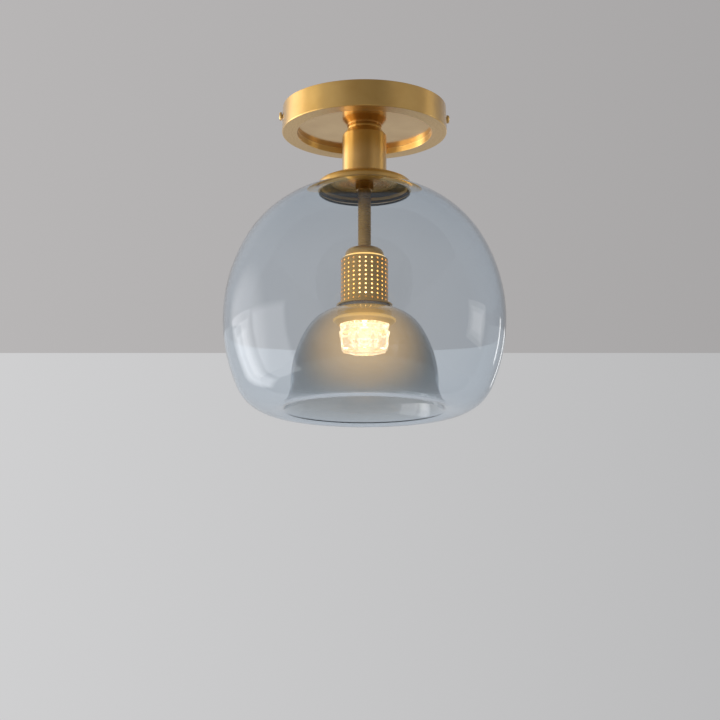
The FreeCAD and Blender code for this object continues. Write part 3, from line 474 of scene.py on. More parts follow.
class Finish(Enum):
    """Every finish on the light."""

    SATIN_BRASS = TurnedBrass("lacquered_turned_brass")
    LAPPED_BRASS = TurnedBrass("lapped_brass", "dfbc7c", "c9a263", (0.3, 0.42), 0.5,
                               0.9, 0.004, 1.5, lacquer=0.3)
    POLISHED_BRASS = TurnedBrass("polished_brass", "dab77c", "c8a368", (0.1, 0.16), 0.2,
                                 0.8, 0.002, lacquer=0.3)
    # Painted glow: the holder's sleeve gets warm emission inside 20.7 mm from the axis, standing
    # in for the lamp's light.
    PAINTED_GLOW_BRASS = TurnedBrass("painted_glow_brass", painted_glow_to_mm=20.7, lit=1.6)
    # Painted glow line: the lens ring's outer rim, 26.9 to 29 mm from the axis, gets warm
    # emission standing in for the lamp's light.
    PAINTED_RIM_GLOW_BRASS = TurnedBrass("painted_rim_glow_brass", painted_glow_from_mm=26.9, painted_glow_to_mm=29.0, lit=0.6)
    # Darker brass as painted shade, for the cap's underside, the stem and the fittings inside.
    PAINTED_SHADE_BRASS = TurnedBrass("painted_shade_brass", "c49a58", "a97f40", (0.26, 0.29), 0.9, 6.0,
                             0.0005, lacquer=0.2)
    SMOKED_GLASS = SmokedGlass("smoked_blown_glass")
    CRYSTAL = CutCrystal("cut_crystal_painted_glow")
    SILICONE = ClearMoulding("milky_silicone", "f1efe9", 0.35, 1.41, 0.3)
    CAPSULE_GLASS = ClearMoulding("capsule_glass", "fffaf0", 0.02, 1.47, 1.0)
    ZINC = PlatedSteel("zinc_plated_steel")
    # Steatite carries a painted warm glow of 1.6.
    STEATITE = Moulding("steatite_ceramic", "efe9dc", "e2dac9", 0.5, 1.5, 1.6)
    POLYAMIDE = Moulding("moulded_polyamide", "e6e6e1", "d9d9d3", 0.45, 0.8)
    DARK_RUBBER = Moulding("black_rubber", "0f1012", "0a0b0c", 0.7, 0.6)
    BROWN_PVC = Moulding("brown_pvc_insulation", "5d3a26", "4c2e1d", 0.4, 1.0)
    BLUE_PVC = Moulding("blue_pvc_insulation", "2f5fae", "27509a", 0.4, 1.0)
    GREEN_PVC = Moulding("green_pvc_insulation", "4d8a34", "42782c", 0.4, 1.0)
    PHOSPHOR = Phosphor("warm_phosphor")


MADE: dict[Finish, bpy.types.Material] = {}


def finish_of(finish: Finish) -> bpy.types.Material:
    """Give a finish's material, made the first time that it is asked for."""
    if finish not in MADE:
        MADE[finish] = finish.value.material()
    return MADE[finish]


def dress(node: str, finish: Finish) -> None:
    """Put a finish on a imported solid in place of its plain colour."""
    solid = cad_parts[node]
    solid.data.materials.clear()
    solid.data.materials.append(finish_of(finish))
    LOG.info("%s: %s", node, finish.value.name)


# -------------------------------------------------------------- surface helpers


def rounded(corners: Sequence[tuple[float, float, float]], steps: int = 6,
            support: float = 0.12) -> np.ndarray:
    """Closed outline whose corners are arcs tangent to their two sides.

    With half the angle between the sides h, the arc of radius r leaves each side
    at r / tan h from the corner and turns about a point at r / sin h along the
    bisector. One more point on each side keeps the shading of the flats even.

    Args:
        corners: Radius, depth and rounding of each corner, in mm.
        steps: Pieces in each arc.
        support: Distance of the extra points from an arc, in mm.

    Returns:
        Points (radius, height), in mm.
    """
    table = np.array(corners, float)
    spots = table[:, :2] * (1, -1)
    back = np.roll(spots, 1, 0) - spots
    ahead = np.roll(spots, -1, 0) - spots
    reach_back = np.linalg.norm(back, axis=1)
    reach_ahead = np.linalg.norm(ahead, axis=1)
    back /= reach_back[:, None]
    ahead /= reach_ahead[:, None]
    half = np.arccos(np.clip((back * ahead).sum(1), -1, 1)) / 2
    room = MAX_SETBACK * np.minimum(reach_back, reach_ahead)
    setback = np.minimum(table[:, 2] / np.tan(half), room)
    radius = setback * np.tan(half)
    bisector = back + ahead
    length = np.linalg.norm(bisector, axis=1)
    bisector = np.divide(bisector, length[:, None], where=length[:, None] > TINY,
                         out=np.zeros_like(bisector))
    centre = spots + bisector * (radius / np.sin(half))[:, None]
    first = spots + back * setback[:, None] - centre
    last = spots + ahead * setback[:, None] - centre
    sweep = np.maximum(np.pi - 2 * half, TINY_TURN)[:, None, None]
    share = np.linspace(0, 1, steps + 1)[None, :, None]
    arcs = (np.sin((1 - share) * sweep) * first[:, None]
            + np.sin(share * sweep) * last[:, None]) / np.sin(sweep) + centre[:, None]
    extra = np.where(table[:, 2] > 0, np.minimum(support, SUPPORT_SHARE * room), 0.0)
    lead_in = (spots + back * (setback + extra)[:, None])[:, None]
    lead_out = (spots + ahead * (setback + extra)[:, None])[:, None]
    points = np.concatenate((lead_in, arcs, lead_out), axis=1).reshape(-1, 2)
    gap = np.linalg.norm(points - np.roll(points, 1, 0), axis=1)
    return points[gap > SAME_POINT_MM]


def arc_points(start: tuple[float, float], end: tuple[float, float], radius: float,
               steps: int) -> list[tuple[float, float, float]]:
    """Corners along an arc that bulges outwards from the chord, ends left out.

    Args:
        start: Radius and depth of one end, in mm.
        end: Radius and depth of the other.
        radius: The arc's radius; negative to bulge to the other side.
        steps: Pieces in the arc.

    Returns:
        Radius, depth and no rounding of each point between the ends.
    """
    first, last = np.array(start, float), np.array(end, float)
    middle, chord = (first + last) / 2, last - first
    reach = np.linalg.norm(chord)
    normal = np.array((chord[1], -chord[0])) / reach
    rise = math.sqrt(radius ** 2 - (reach / 2) ** 2)
    centre = middle - normal * rise * math.copysign(1, radius)
    one, two = first - centre, last - centre
    sweep = math.acos(float(one @ two) / radius ** 2)
    share = np.linspace(0, 1, steps + 1)[1:-1, None]
    points = (np.sin((1 - share) * sweep) * one + np.sin(share * sweep) * two)
    points = points / math.sin(sweep) + centre
    return [(float(across), float(depth), 0.0) for across, depth in points]


def revolve(name: str, outline: np.ndarray, around: int = 160) -> bpy.types.Object:
    """Closed surface of revolution about the lamp's axis.

    Each outline point (r, h) becomes the ring (r cos a, r sin a, h) for the grid
    of angles a. The outline is turned to run counterclockwise first, so that its
    faces point outwards. The piece's UV map is (a, distance along the outline).

    Args:
        name: The piece's name.
        outline: Points (radius, height) of a closed outline, in mm.
        around: Steps round the axis.

    Returns:
        The object, not yet on a body.
    """
    after = np.roll(outline, -1, 0)
    if (outline[:, 0] * after[:, 1] - after[:, 0] * outline[:, 1]).sum() < 0:
        outline = outline[::-1]
    count = len(outline)
    angle = np.arange(around) * 2 * np.pi / around
    radius, height = outline[:, :1] * MM, outline[:, 1:] * MM
    grid = np.stack((radius * np.cos(angle), radius * np.sin(angle),
                     height + 0 * angle), axis=-1)
    row, column = np.meshgrid(np.arange(count), np.arange(around), indexing="ij")
    up, on = (row + 1) % count, (column + 1) % around
    faces = np.stack((row * around + column, row * around + on, up * around + on,
                      up * around + column), axis=-1).reshape(-1, 4)
    mesh = bpy.data.meshes.new(name)
    mesh.from_pydata(grid.reshape(-1, 3).tolist(), [], faces.tolist())
    step = np.linalg.norm(np.roll(outline, -1, 0) - outline, axis=1)
    along = np.concatenate(((0,), np.cumsum(step))) / step.sum()
    turn = np.arange(around + 1) / around
    across = np.stack((turn[column], turn[column + 1], turn[column + 1], turn[column]), -1)
    length = np.stack((along[row], along[row], along[row + 1], along[row + 1]), -1)
    layer = mesh.uv_layers.new(name="around_and_along")
    layer.data.foreach_set("uv", np.stack((across, length), -1).astype(np.float32).ravel())
    mesh.polygons.foreach_set("use_smooth", np.ones(len(mesh.polygons), bool))
    if outline[:, 0].min() < ON_AXIS_MM:
        tool = bmesh.new()
        tool.from_mesh(mesh)
        bmesh.ops.remove_doubles(tool, verts=tool.verts, dist=WELD_M)
        tool.to_mesh(mesh)
        tool.free()
    mesh.update()
    piece = bpy.data.objects.new(name, mesh)
    bpy.context.scene.collection.objects.link(piece)
    return piece


def place(piece: bpy.types.Object, finish: Finish, slot: str, body: Body,
          *nodes: str) -> None:
    """Give a new piece its finish, its body and the solids that it stands for."""
    piece.data.materials.append(finish_of(finish))
    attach(piece, body.value)
    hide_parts(*nodes)
    LOG.info("%s: %s on %s, %d faces", piece.name, finish.value.name, body.value,
             len(piece.data.polygons))


def face_vectors(piece: bpy.types.Object, kind: str) -> np.ndarray:
    """Centres or normals of a piece's faces, one row for each face."""
    flat = np.zeros(len(piece.data.polygons) * 3, np.float32)
    piece.data.polygons.foreach_get(kind, flat)
    return flat.reshape(-1, 3)


def set_finishes(piece: bpy.types.Object, index: np.ndarray, *extra: Finish) -> None:
    """Add finishes to a piece and give each face the one that index names."""
    for finish in extra:
        piece.data.materials.append(finish_of(finish))
    piece.data.polygons.foreach_set("material_index", index.astype(np.int32))


# ---------------------------------------------------------------- sub-assemblies


@dataclass
class CeilingFixings:
    """Crossbar, threaded tube and earthing inside the canopy."""

    steel: tuple[str, ...] = ("ceiling_bracket", "threaded_tube", "lock_washer", "canopy_nut",
                              "earth_screw", "terminal_screws")

    def build(self) -> None:
        """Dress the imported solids."""
        for node in self.steel:
            dress(node, Finish.ZINC)
        # The earth tag gets the darker brass as painted shade.
        dress("earth_tag", Finish.PAINTED_SHADE_BRASS)
        dress("terminal_block", Finish.POLYAMIDE)


@dataclass
class Canopy:
    """Round brass cup against the ceiling, with a recessed, polished underside."""

    top_radius: float = 74.2
    rim_radius: float = 74.8
    depth: float = 24.0
    wall: float = 2.3
    sheet: float = 2.5
    recess_radius: float = 61.0
    floor_depth: float = 18.5
    bore: float = 5.1
    edge: float = 0.3
    rim_edge: float = 0.9
    recess_edge: float = 0.5
    bore_edge: float = 0.1
    around: int = 224
    level: float = 0.05

    def outline(self) -> np.ndarray:
        """Section of the cup with its edges broken by small radii."""
        inner = self.floor_depth - self.sheet
        return rounded((
            (self.top_radius, 0.0, self.edge),
            (self.rim_radius, self.depth, self.rim_edge),
            (self.recess_radius, self.depth, self.recess_edge),
            (self.recess_radius, self.floor_depth, self.edge),
            (self.bore, self.floor_depth, self.bore_edge),
            (self.bore, inner, self.bore_edge),
            (self.recess_radius + self.sheet, inner, 0.0),
            (self.recess_radius + self.sheet, self.depth - self.sheet, 0.0),
            (self.rim_radius - self.wall, self.depth - self.sheet, 0.0),
            (self.top_radius - self.wall, 0.0, self.edge)))

    def build(self) -> None:
        """Spin the cup, polish its floor, lap its edge and dress the side screws."""
        cup = revolve("canopy_cup", self.outline(), self.around)
        place(cup, Finish.SATIN_BRASS, "satin_brass", Body.FIXTURE, "canopy")
        x, y, z = face_vectors(cup, "center").T / MM
        floor = ((abs(z + self.floor_depth) < self.level)
                 & (np.hypot(x, y) < self.recess_radius - self.level))
        lapped = abs(z + self.depth) < self.level
        set_finishes(cup, floor + 2 * lapped, Finish.POLISHED_BRASS, Finish.LAPPED_BRASS)
        for node in ("canopy_screw_left", "canopy_screw_right"):
            dress(node, Finish.SATIN_BRASS)


@dataclass
class Neck:
    """Brass sleeve between canopy and globe, with a narrow foot and a bevelled lip."""

    foot_radius: float = 15.0
    lip_radius: float = 15.6
    radius: float = 20.0
    wall: float = 1.6
    top: float = 18.5
    gap: float = 1.1
    shoulder: float = 8.0
    plate: float = 3.0
    end: float = 63.0
    bore: float = 5.1
    edge: float = 0.1
    lip_edge: float = 0.25
    bevel_edge: float = 0.4
    shoulder_edge: float = 1.2
    end_edge: float = 0.15

    def outline(self) -> np.ndarray:
        """Section of the neck, hollow and open at the bottom."""
        return rounded((
            (self.bore, self.top, 0.0),
            (self.foot_radius, self.top, 0.0),
            (self.foot_radius, self.top + self.gap, self.edge),
            (self.lip_radius, self.top + self.gap, self.lip_edge),
            (self.lip_radius, self.top + self.shoulder / 3, self.bevel_edge),
            (self.radius, self.top + self.shoulder, self.shoulder_edge),
            (self.radius, self.end, self.end_edge),
            (self.radius - self.wall, self.end, self.edge),
            (self.radius - self.wall, self.top + self.shoulder, 0.0),
            (self.foot_radius - self.wall, self.top + self.plate, 0.0),
            (self.bore, self.top + self.plate, 0.0)))

    def build(self) -> None:
        """Spin the neck."""
        place(revolve("neck_sleeve", self.outline()), Finish.SATIN_BRASS, "satin_brass",
              Body.FIXTURE, "neck")


@dataclass
class GlobeCap:
    """Thin domed brass cap over the globe's mouth, and what it covers.

    A face whose normal points down by more than under_slope is on the underside, which gets the
    darker brass as painted shade.
    """

    flat_radius: float = 20.0
    top: float = 63.0
    bend_radius: float = 40.0
    bend_depth: float = 70.0
    inner_bend_radius: float = 39.54
    inner_bend_depth: float = 70.89
    radius: float = 43.0
    skirt_top: float = 74.9
    rim: float = 76.3
    arc: float = 80.0
    bend: float = 5.5
    sheet: float = 1.0
    bore: float = 5.1
    rim_edge: float = 0.25
    arc_steps: int = 12
    bend_steps: int = 8
    around: int = 192
    under_slope: float = 0.3

    def outline(self) -> np.ndarray:
        """Section of the dome: two arcs a sheet apart, each bent down into a skirt."""
        inner, under = self.radius - self.sheet, self.top + self.sheet
        shoulder = (self.bend_radius, self.bend_depth)
        inner_shoulder = (self.inner_bend_radius, self.inner_bend_depth)
        corners = [(self.bore, self.top, 0.0), (self.flat_radius, self.top, 0.0)]
        corners += arc_points((self.flat_radius, self.top), shoulder, self.arc,
                              self.arc_steps)
        corners += [(*shoulder, 0.0)]
        corners += arc_points(shoulder, (self.radius, self.skirt_top), self.bend,
                              self.bend_steps)
        corners += [(self.radius, self.skirt_top, 0.0), (self.radius, self.rim, self.rim_edge),
                    (inner, self.rim, self.rim_edge), (inner, self.skirt_top, 0.0)]
        corners += arc_points((inner, self.skirt_top), inner_shoulder,
                              -(self.bend - self.sheet), self.bend_steps)
        corners += [(*inner_shoulder, 0.0)]
        corners += arc_points(inner_shoulder, (self.flat_radius, under),
                              -(self.arc - self.sheet), self.arc_steps)
        corners += [(self.flat_radius, under, 0.0), (self.bore, under, 0.0)]
        return rounded(corners)

    def build(self) -> None:
        """Spin the cap and dress the liner, rubber ring, stiffener and nut under it."""
        cap = revolve("cap_dome", self.outline(), self.around)
        place(cap, Finish.SATIN_BRASS, "satin_brass", Body.FIXTURE, "glass_cap")
        # Faces that point down get the darker brass as painted shade.
        under = face_vectors(cap, "normal")[:, 2] < -self.under_slope
        set_finishes(cap, under, Finish.PAINTED_SHADE_BRASS)
        dress("cap_liner", Finish.DARK_RUBBER)
        dress("cap_seal", Finish.DARK_RUBBER)
        # Stiffener and nut get the darker brass as painted shade.
        dress("cap_stiffener", Finish.PAINTED_SHADE_BRASS)
        dress("stem_nut", Finish.PAINTED_SHADE_BRASS)


@dataclass
class LampHolder:
    """Stem, perforated shell, socket and the flange that the glass hangs on."""

    stem_radius: float = 5.85
    stem_top: float = 76.3
    stem_end: float = 132.0
    tail_radius: float = 5.0
    tail_end: float = 138.4
    stem_bore: float = 3.6
    crown_radius: float = 11.0
    shoulder: float = 6.5
    shell_radius: float = 17.5
    shell_sheet: float = 1.2
    collar_end: float = 141.6
    bore_gap: float = 0.1
    bore_edge: float = 0.1
    edge: float = 0.2
    top_edge: float = 0.3
    arc_steps: int = 12
    inner_steps: int = 10
    stem_around: int = 64
    shell_around: int = 128

    def stem_outline(self) -> np.ndarray:
        """Section of the stem's tube with its thinner threaded tail."""
        return rounded((
            (self.stem_bore, self.stem_top, self.bore_edge),
            (self.stem_radius, self.stem_top, self.top_edge),
            (self.stem_radius, self.stem_end, self.edge),
            (self.tail_radius, self.stem_end, 0.0),
            (self.tail_radius, self.tail_end, self.edge),
            (self.stem_bore, self.tail_end, self.bore_edge)))

    def shell_outline(self) -> np.ndarray:
        """Section of the round topped cap over the socket."""
        top, under = self.stem_end, self.stem_end + self.shell_sheet
        level = top + self.shoulder
        inner = self.shell_radius - self.shell_sheet
        bore = self.tail_radius + self.bore_gap
        corners = [(bore, top, 0.0), (self.crown_radius, top, 0.0)]
        corners += arc_points((self.crown_radius, top), (self.shell_radius, level),
                              self.shoulder, self.arc_steps)
        corners += [(self.shell_radius, level, 0.0),
                    (self.shell_radius, self.collar_end, self.edge),
                    (inner, self.collar_end, self.edge), (inner, level, 0.0)]
        corners += arc_points((inner, level), (self.crown_radius, under),
                              -(self.shoulder - self.shell_sheet), self.inner_steps)
        corners += [(self.crown_radius, under, 0.0), (bore, under, 0.0)]
        return rounded(corners)

    def build(self) -> None:
        """Spin the stem and the shell's cap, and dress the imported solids."""
        # The stem gets the darker brass as painted shade.
        place(revolve("stem_tube", self.stem_outline(), self.stem_around), Finish.PAINTED_SHADE_BRASS,
              "aged_brass", Body.FIXTURE, "stem")
        place(revolve("holder_dome", self.shell_outline(), self.shell_around),
              Finish.SATIN_BRASS, "satin_brass", Body.FIXTURE, "holder_cap")
        # The sleeve carries a painted warm glow in place of the lamp's light inside it.
        dress("holder_sleeve", Finish.PAINTED_GLOW_BRASS)
        dress("holder_flange", Finish.SATIN_BRASS)
        # The socket's ceramic carries a painted warm glow.
        dress("lamp_socket", Finish.STEATITE)
        for node in ("holder_saddle", "holder_nut", "socket_screws"):
            dress(node, Finish.ZINC)


@dataclass
class CapsuleLamp:
    """The lit two pin capsule lamp."""

    def build(self) -> None:
        """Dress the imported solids."""
        dress("lamp_pins", Finish.ZINC)
        # The base's ceramic carries a painted warm glow.
        dress("lamp_base", Finish.STEATITE)
        dress("lamp_glass", Finish.CAPSULE_GLASS)
        dress("lamp_core", Finish.PHOSPHOR)


@dataclass
class GlassShade:
    """One blown wall: a globe that folds at the bottom and rises into a bell."""

    wall: float = 2.5
    skin: float = 0.06
    mouth_radius: float = 41.0
    mouth_depth: float = 76.5
    mouth_slope: float = 10.0
    arcs: tuple[tuple[float, float], ...] = (
        (60.0, -10.0), (106.0, -41.4), (144.5, -28.6), (149.3, -24.2), (38.0, -51.0),
        (28.0, -32.57), (5.0, -34.59), (32.31, -39.44), (87.4, 34.4), (36.9, 53.4))
    degrees_per_step: float = 2.2
    least_steps: int = 4
    edge_steps: int = 8
    around: int = 256

    def face(self, inset: float) -> np.ndarray:
        """One face of the wall as a chain of tangent arcs.

        From a point p with heading t, an arc of radius r that turns by w is
        p + r / s * (n(t) - n(t + s w)), where s is the turn's sign and n is the
        heading turned a quarter to the right.

        Args:
            inset: How far the face lies inside the wall's outer face, in mm.

        Returns:
            Points (radius, height), in mm.
        """
        heading = -math.radians(self.mouth_slope)
        spot = np.array((self.mouth_radius, -self.mouth_depth))
        spot = spot + inset * np.array((math.sin(heading), -math.cos(heading)))
        runs = [spot[None]]
        for radius, turn in self.arcs:
            side = math.copysign(1, turn)
            reach = radius + side * inset
            steps = max(self.least_steps, round(abs(turn) / self.degrees_per_step))
            swept = heading + np.linspace(0, math.radians(turn), steps + 1)[1:]
            right = np.stack((np.sin(swept), -np.cos(swept)), -1)
            start = np.array((math.sin(heading), -math.cos(heading)))
            run = spot + side * reach * (right - start)
            runs.append(run)
            spot, heading = run[-1], float(swept[-1])
        return np.concatenate(runs)

    def outline(self) -> np.ndarray:
        """Both faces joined by half round, fire polished edges.

        The faces lie a skin inside the solid's, so that no vertex leaves its box.
        """
        outer, inner = self.face(self.skin), self.face(self.wall - self.skin)
        share = np.linspace(0, math.pi, self.edge_steps + 1)[1:-1, None]

        def polished(start: np.ndarray, end: np.ndarray, back: np.ndarray) -> np.ndarray:
            """Half circle from start to end that bulges against the wall's run."""
            centre, arm = (start + end) / 2, (start - end) / 2
            away = back / np.linalg.norm(back) * np.linalg.norm(arm)
            return centre + np.cos(share) * arm + np.sin(share) * away

        pull = self.wall / 2 + self.skin
        outer_run, inner_run = outer[-1] - outer[-2], outer[0] - outer[1]
        outer_run = outer_run / np.linalg.norm(outer_run) * pull
        inner_run = inner_run / np.linalg.norm(inner_run) * pull
        outer[-1] -= outer_run
        inner[-1] -= outer_run
        outer[0] -= inner_run
        inner[0] -= inner_run
        crown = polished(outer[-1], inner[-1], outer_run)
        mouth = polished(inner[0], outer[0], inner_run)
        return np.concatenate((outer, crown, inner[::-1], mouth))

    def build(self) -> None:
        """Spin the wall."""
        place(revolve("glass_globe", self.outline(), self.around), Finish.SMOKED_GLASS,
              "smoked_glass", Body.SHADE, "glass_shade")


@dataclass
class LensClamp:
    """Seals, screwed ring and cut crystal under the bell's crown."""

    bore: float = 19.25
    top: float = 191.8
    collar_radius: float = 24.4
    flange_top: float = 196.9
    radius: float = 28.2
    flange_edge: float = 198.6
    mouth_radius: float = 22.7
    seat_radius: float = 22.2
    seat_depth: float = 199.0
    end: float = 203.0
    undercut: float = 0.8
    chamfer: float = 0.4
    bore_edge: float = 0.1
    mouth_edge: float = 0.15
    rim_edge: float = 0.2
    flange_round: float = 0.3

    def outline(self) -> np.ndarray:
        """Section of the ring: collar, flange, cone to the crystal, and its seat."""
        return rounded((
            (self.bore, self.top, self.bore_edge),
            (self.collar_radius, self.top, self.rim_edge),
            (self.collar_radius, self.flange_top - self.undercut, self.flange_round),
            (self.radius - self.chamfer, self.flange_top, self.flange_round),
            (self.radius, self.flange_top + self.chamfer, self.rim_edge),
            (self.radius, self.flange_edge, self.flange_round),
            (self.mouth_radius, self.end, self.mouth_edge),
            (self.seat_radius, self.end, self.bore_edge),
            (self.seat_radius, self.seat_depth, 0.0),
            (self.bore, self.seat_depth, 0.0)))

    def build(self) -> None:
        """Spin the ring and dress seals and crystal."""
        # The ring's outer rim carries a painted glow line.
        place(revolve("lens_ring", self.outline()), Finish.PAINTED_RIM_GLOW_BRASS, "satin_brass",
              Body.LENS, "retaining_ring")
        dress("upper_seal", Finish.SILICONE)
        dress("lower_seal", Finish.SILICONE)
        dress("crystal_lens", Finish.CRYSTAL)


@dataclass
class Wiring:
    """Mains leads, held inside the light all the way."""

    def build(self) -> None:
        """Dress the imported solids."""
        dress("live_lead", Finish.BROWN_PVC)
        dress("neutral_lead", Finish.BLUE_PVC)
        dress("earth_lead", Finish.GREEN_PVC)


# ------------------------------------------------------------------------ studio


@dataclass(frozen=True)
class SoftLight:
    """An upright soft light that faces the lamp, in layers that soften its edge.

    The azimuth is in degrees to the right of the camera, seen from the lamp, and
    lengths are in metres. A radiance of 1 is white where all layers overlap. Each
    layer is smaller than the last on every side by border, a share of the width.
    """

    name: str
    azimuth: float
    top: float
    bottom: float
    width: float
    radiance: float
    colour: str
    border: float = 0.12
    layers: int = 3
    spacing: float = 0.01
    reach: float = 1.6


@dataclass(frozen=True)
class Band:
    """Part of the surroundings that reflections see brighter or darker.

    It fades in between two cosines of the angle to its middle, which is level at
    its azimuth, or straight up where it has none.
    """

    azimuth: Optional[float]
    start: float
    end: float
    level: float


@dataclass
class Studio:
    """Plain pale room, soft window light from the left, and the camera."""

    heading: float = 3.0
    distance: float = 1.4698
    below_ceiling: float = 0.5343
    sideways: float = -0.004
    pitch: float = 11.556
    lens: float = 84.925
    sensor: float = 36.0
    clip: tuple[float, float] = (0.05, 60.0)
    wall_distance: float = 3.7
    line_angle: float = 11.792
    floor_height: float = -2.4
    floor_span: float = 9.0
    floor_share: float = 0.5
    upper_grey: str = "b2b0b0"
    wall_grey: str = "c7c7c8"
    painted_wall_falloff: float = 0.14
    wall_range: tuple[float, float] = (0.8, 1.2)
    glow: str = "f4f6fa"
    ambient: float = 0.5
    fall: float = 0.45
    bands: tuple[Band, ...] = (
        Band(2.0, 0.65, 0.98, 0.58), Band(80.0, 0.5, 0.9, 1.6),
        Band(-112.0, 0.86, 0.97, 3.0), Band(None, 0.5, 0.9, 0.4))
    lights: tuple[SoftLight, ...] = (
        SoftLight("window_bright", -114.5, 0.05, -1.6, 0.85, 3.0, "fbfcff"),
        SoftLight("window_dim", -81.0, 0.05, -1.6, 1.05, 1.9, "fbfcff", 0.04),
        SoftLight("right_soft", 98.0, 0.12, -0.4, 0.6, 2.2, "fdfcfa"),
        SoftLight("right_slit", 137.0, 0.1, -0.25, 0.1, 2.4, "fdfcfa"),
        SoftLight("far_slit", 154.0, 0.1, -0.25, 0.1, 1.6, "fdfcfa"))

    def turned(self, across: float, along: float) -> tuple[float, float]:
        """Turn a point (right, away) of the camera's view into x and y."""
        angle = math.radians(self.heading)
        return (across * math.cos(angle) + along * math.sin(angle),
                -across * math.sin(angle) + along * math.cos(angle))

    def facing(self, azimuth: float) -> tuple[float, float, float]:
        """Level direction at an azimuth, counted to the right of the camera."""
        angle = math.radians(azimuth)
        return (*self.turned(math.sin(angle), -math.cos(angle)), 0.0)

    def seen(self, tree: bpy.types.NodeTree) -> bpy.types.NodeSocket:
        """1 for camera, glossy and transmission rays, which show the background."""
        path = add_node(tree, "ShaderNodeLightPath")
        shows = path.outputs["Is Camera Ray"]
        for kind in ("Is Glossy Ray", "Is Transmission Ray"):
            shows = add_node(tree, "ShaderNodeMath", {0: shows, 1: path.outputs[kind]},
                             operation="MAXIMUM").outputs[0]
        return shows

    def panel(self, name: str, corners: np.ndarray, share: float) -> None:
        """A flat stage panel in the wall's grey, with painted light that makes it paler on its
        left.

        Args:
            name: The panel's name.
            corners: Its four corners, in metres.
            share: How much of the grey is shown whatever light falls on it.
        """
        mesh = bpy.data.meshes.new(name)
        mesh.from_pydata(corners.tolist(), [], [(0, 1, 2, 3)])
        piece = bpy.data.objects.new(name, mesh)
        bpy.context.scene.collection.objects.link(piece)
        material, tree = new_material(name + "_paint")
        colour = linear(self.wall_grey)
        lit = add_node(tree, "ShaderNodeBsdfDiffuse", {"Color": colour})
        split = add_node(tree, "ShaderNodeSeparateXYZ", {
            0: add_node(tree, "ShaderNodeTexCoord").outputs["Object"]})
        # Painted light: the shown grey brightens to the left and dims to the right.
        drop = add_node(tree, "ShaderNodeMath", {
            0: split.outputs["X"], 1: -self.painted_wall_falloff, 2: 1.0}, operation="MULTIPLY_ADD")
        held = add_node(tree, "ShaderNodeClamp", {
            "Value": drop.outputs[0], "Min": self.wall_range[0], "Max": self.wall_range[1]})
        shown = add_node(tree, "ShaderNodeEmission", {
            "Color": colour, "Strength": held.outputs[0]})
        level = add_node(tree, "ShaderNodeMath", {0: self.seen(tree), 1: share},
                         operation="MULTIPLY")
        mix = add_node(tree, "ShaderNodeMixShader", {
            0: level.outputs[0], 1: lit.outputs[0], 2: shown.outputs[0]})
        close_material(tree, mix.outputs[0])
        mesh.materials.append(material)

    def hang(self, soft: SoftLight) -> None:
        """Make a soft light's layers, none of which the camera or the glass shows."""
        across, along, _ = self.facing(soft.azimuth)
        middle = (soft.top + soft.bottom) / 2
        for layer in range(soft.layers):
            less = 2 * soft.border * soft.width * layer
            light = bpy.data.lights.new(f"{soft.name}_{layer}", "AREA")
            light.shape = "RECTANGLE"
            light.size, light.size_y = soft.width - less, soft.top - soft.bottom - less
            light.color = linear(soft.colour)[:3]
            light.energy = soft.radiance / soft.layers * math.pi * light.size * light.size_y
            lamp = bpy.data.objects.new(light.name, light)
            away = soft.reach - soft.spacing * layer
            lamp.location = (away * across, away * along, middle)
            aim = Vector((0.0, 0.0, middle)) - lamp.location
            lamp.rotation_euler = aim.to_track_quat("-Z", "Y").to_euler()
            lamp.visible_camera = False
            lamp.visible_transmission = False
            bpy.context.scene.collection.objects.link(lamp)

    def band_factor(self, tree: bpy.types.NodeTree, direction: bpy.types.NodeSocket,
                    band: Band) -> bpy.types.NodeSocket:
        """Factor that goes from 1 to the band's level towards its middle."""
        aim = (0.0, 0.0, 1.0) if band.azimuth is None else self.facing(band.azimuth)
        toward = add_node(tree, "ShaderNodeVectorMath", {0: direction, 1: aim},
                          operation="DOT_PRODUCT")
        return add_node(tree, "ShaderNodeMapRange", {
            "Value": toward.outputs["Value"], "From Min": band.start, "From Max": band.end,
            "To Min": 1.0, "To Max": band.level}, interpolation_type="SMOOTHSTEP").outputs[0]

    def upper_level(self, tree: bpy.types.NodeTree) -> bpy.types.NodeSocket:
        """Brightness by direction: it falls from left to right.

        Reflections alone also meet the bands: a dark one behind the camera, brighter
        ones to the right and over the window, and a dim zenith. They streak the brass.
        """
        direction = add_node(tree, "ShaderNodeTexCoord").outputs["Generated"]
        split = add_node(tree, "ShaderNodeSeparateXYZ", {0: direction})
        drop = add_node(tree, "ShaderNodeMath", {
            0: split.outputs["X"], 1: -self.fall, 2: 1.0}, operation="MULTIPLY_ADD")
        product = 1.0
        for band in self.bands:
            factor = self.band_factor(tree, direction, band)
            product = add_node(tree, "ShaderNodeMath", {0: product, 1: factor},
                               operation="MULTIPLY").outputs[0]
        path = add_node(tree, "ShaderNodeLightPath")
        reflected = add_node(tree, "ShaderNodeMath", {
            0: path.outputs["Is Glossy Ray"], 1: path.outputs["Is Transmission Ray"]},
            operation="SUBTRACT", use_clamp=True)
        share = add_node(tree, "ShaderNodeMix", {0: reflected.outputs[0], 2: 1.0, 3: product})
        level = add_node(tree, "ShaderNodeMath", {0: drop.outputs[0], 1: share.outputs[0]},
                         operation="MULTIPLY")
        return level.outputs[0]

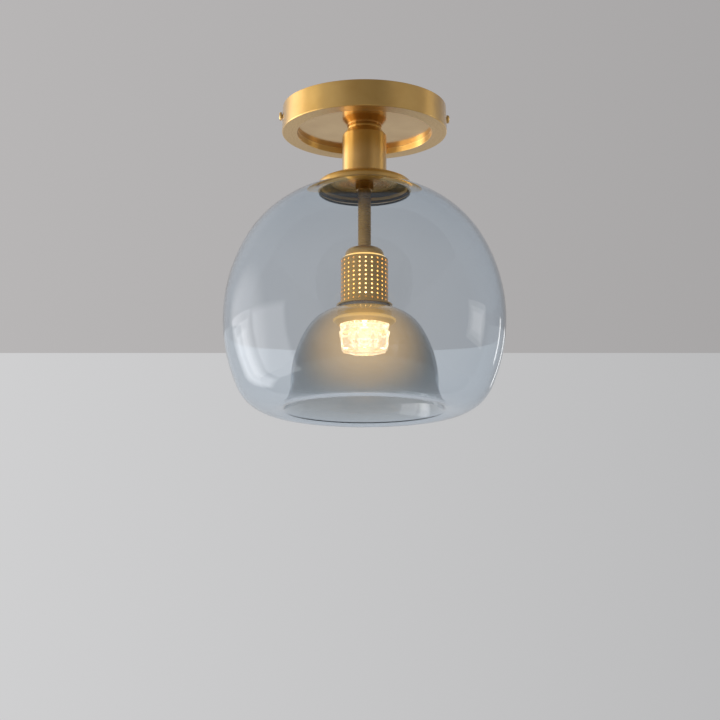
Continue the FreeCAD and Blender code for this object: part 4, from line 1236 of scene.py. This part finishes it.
    def world(self) -> None:
        """Surroundings: the grey above the wall where seen, dimmer as light."""
        world = bpy.data.worlds.new("pale_surroundings")
        bpy.context.scene.world = world
        world.use_nodes = True
        tree = world.node_tree
        tree.nodes.clear()
        shown = add_node(tree, "ShaderNodeBackground", {
            "Color": linear(self.upper_grey), "Strength": self.upper_level(tree)})
        glow = add_node(tree, "ShaderNodeBackground", {
            "Color": linear(self.glow), "Strength": self.ambient})
        mix = add_node(tree, "ShaderNodeMixShader", {
            0: self.seen(tree), 1: glow.outputs[0], 2: shown.outputs[0]})
        add_node(tree, "ShaderNodeOutputWorld", {"Surface": mix.outputs[0]})

    def camera(self) -> None:
        """Camera at the photograph's viewing angle, below the lamp and level."""
        data = bpy.data.cameras.new("view")
        data.lens, data.sensor_width = self.lens, self.sensor
        data.clip_start, data.clip_end = self.clip
        camera = bpy.data.objects.new("view", data)
        x, y = self.turned(self.sideways, -self.distance)
        camera.location = (x, y, -self.below_ceiling)
        camera.rotation_euler = (math.radians(90 + self.pitch), 0.0,
                                 -math.radians(self.heading))
        bpy.context.scene.collection.objects.link(camera)
        bpy.context.scene.camera = camera

    def build(self) -> None:
        """Set up floor, wall, lights, world and camera."""
        away = self.wall_distance - self.distance
        top = self.wall_distance * math.tan(math.radians(self.line_angle)) - self.below_ceiling
        half = self.floor_span / 2
        left, right = self.turned(-half, away), self.turned(half, away)
        near_left, near_right = self.turned(-half, -half), self.turned(half, -half)
        low = self.floor_height
        self.panel("backdrop_wall", np.array((
            (*left, low), (*right, low), (*right, top), (*left, top))), 1.0)
        self.panel("studio_floor", np.array((
            (*near_left, low), (*near_right, low), (*right, low), (*left, low))),
            self.floor_share)
        for soft in self.lights:
            self.hang(soft)
        self.world()
        self.camera()
        bpy.context.scene.view_settings.view_transform = "Standard"


def main() -> None:
    """Build each sub-assembly in order, then the studio."""
    logging.basicConfig(level=logging.INFO, format="%(name)s: %(message)s")
    for assembly in (CeilingFixings(), Canopy(), Neck(), GlobeCap(), LampHolder(),
                     CapsuleLamp(), GlassShade(), LensClamp(), Wiring()):
        LOG.info("building %s", type(assembly).__name__)
        assembly.build()
    Studio().build()


if __name__ == "__main__":
    main()
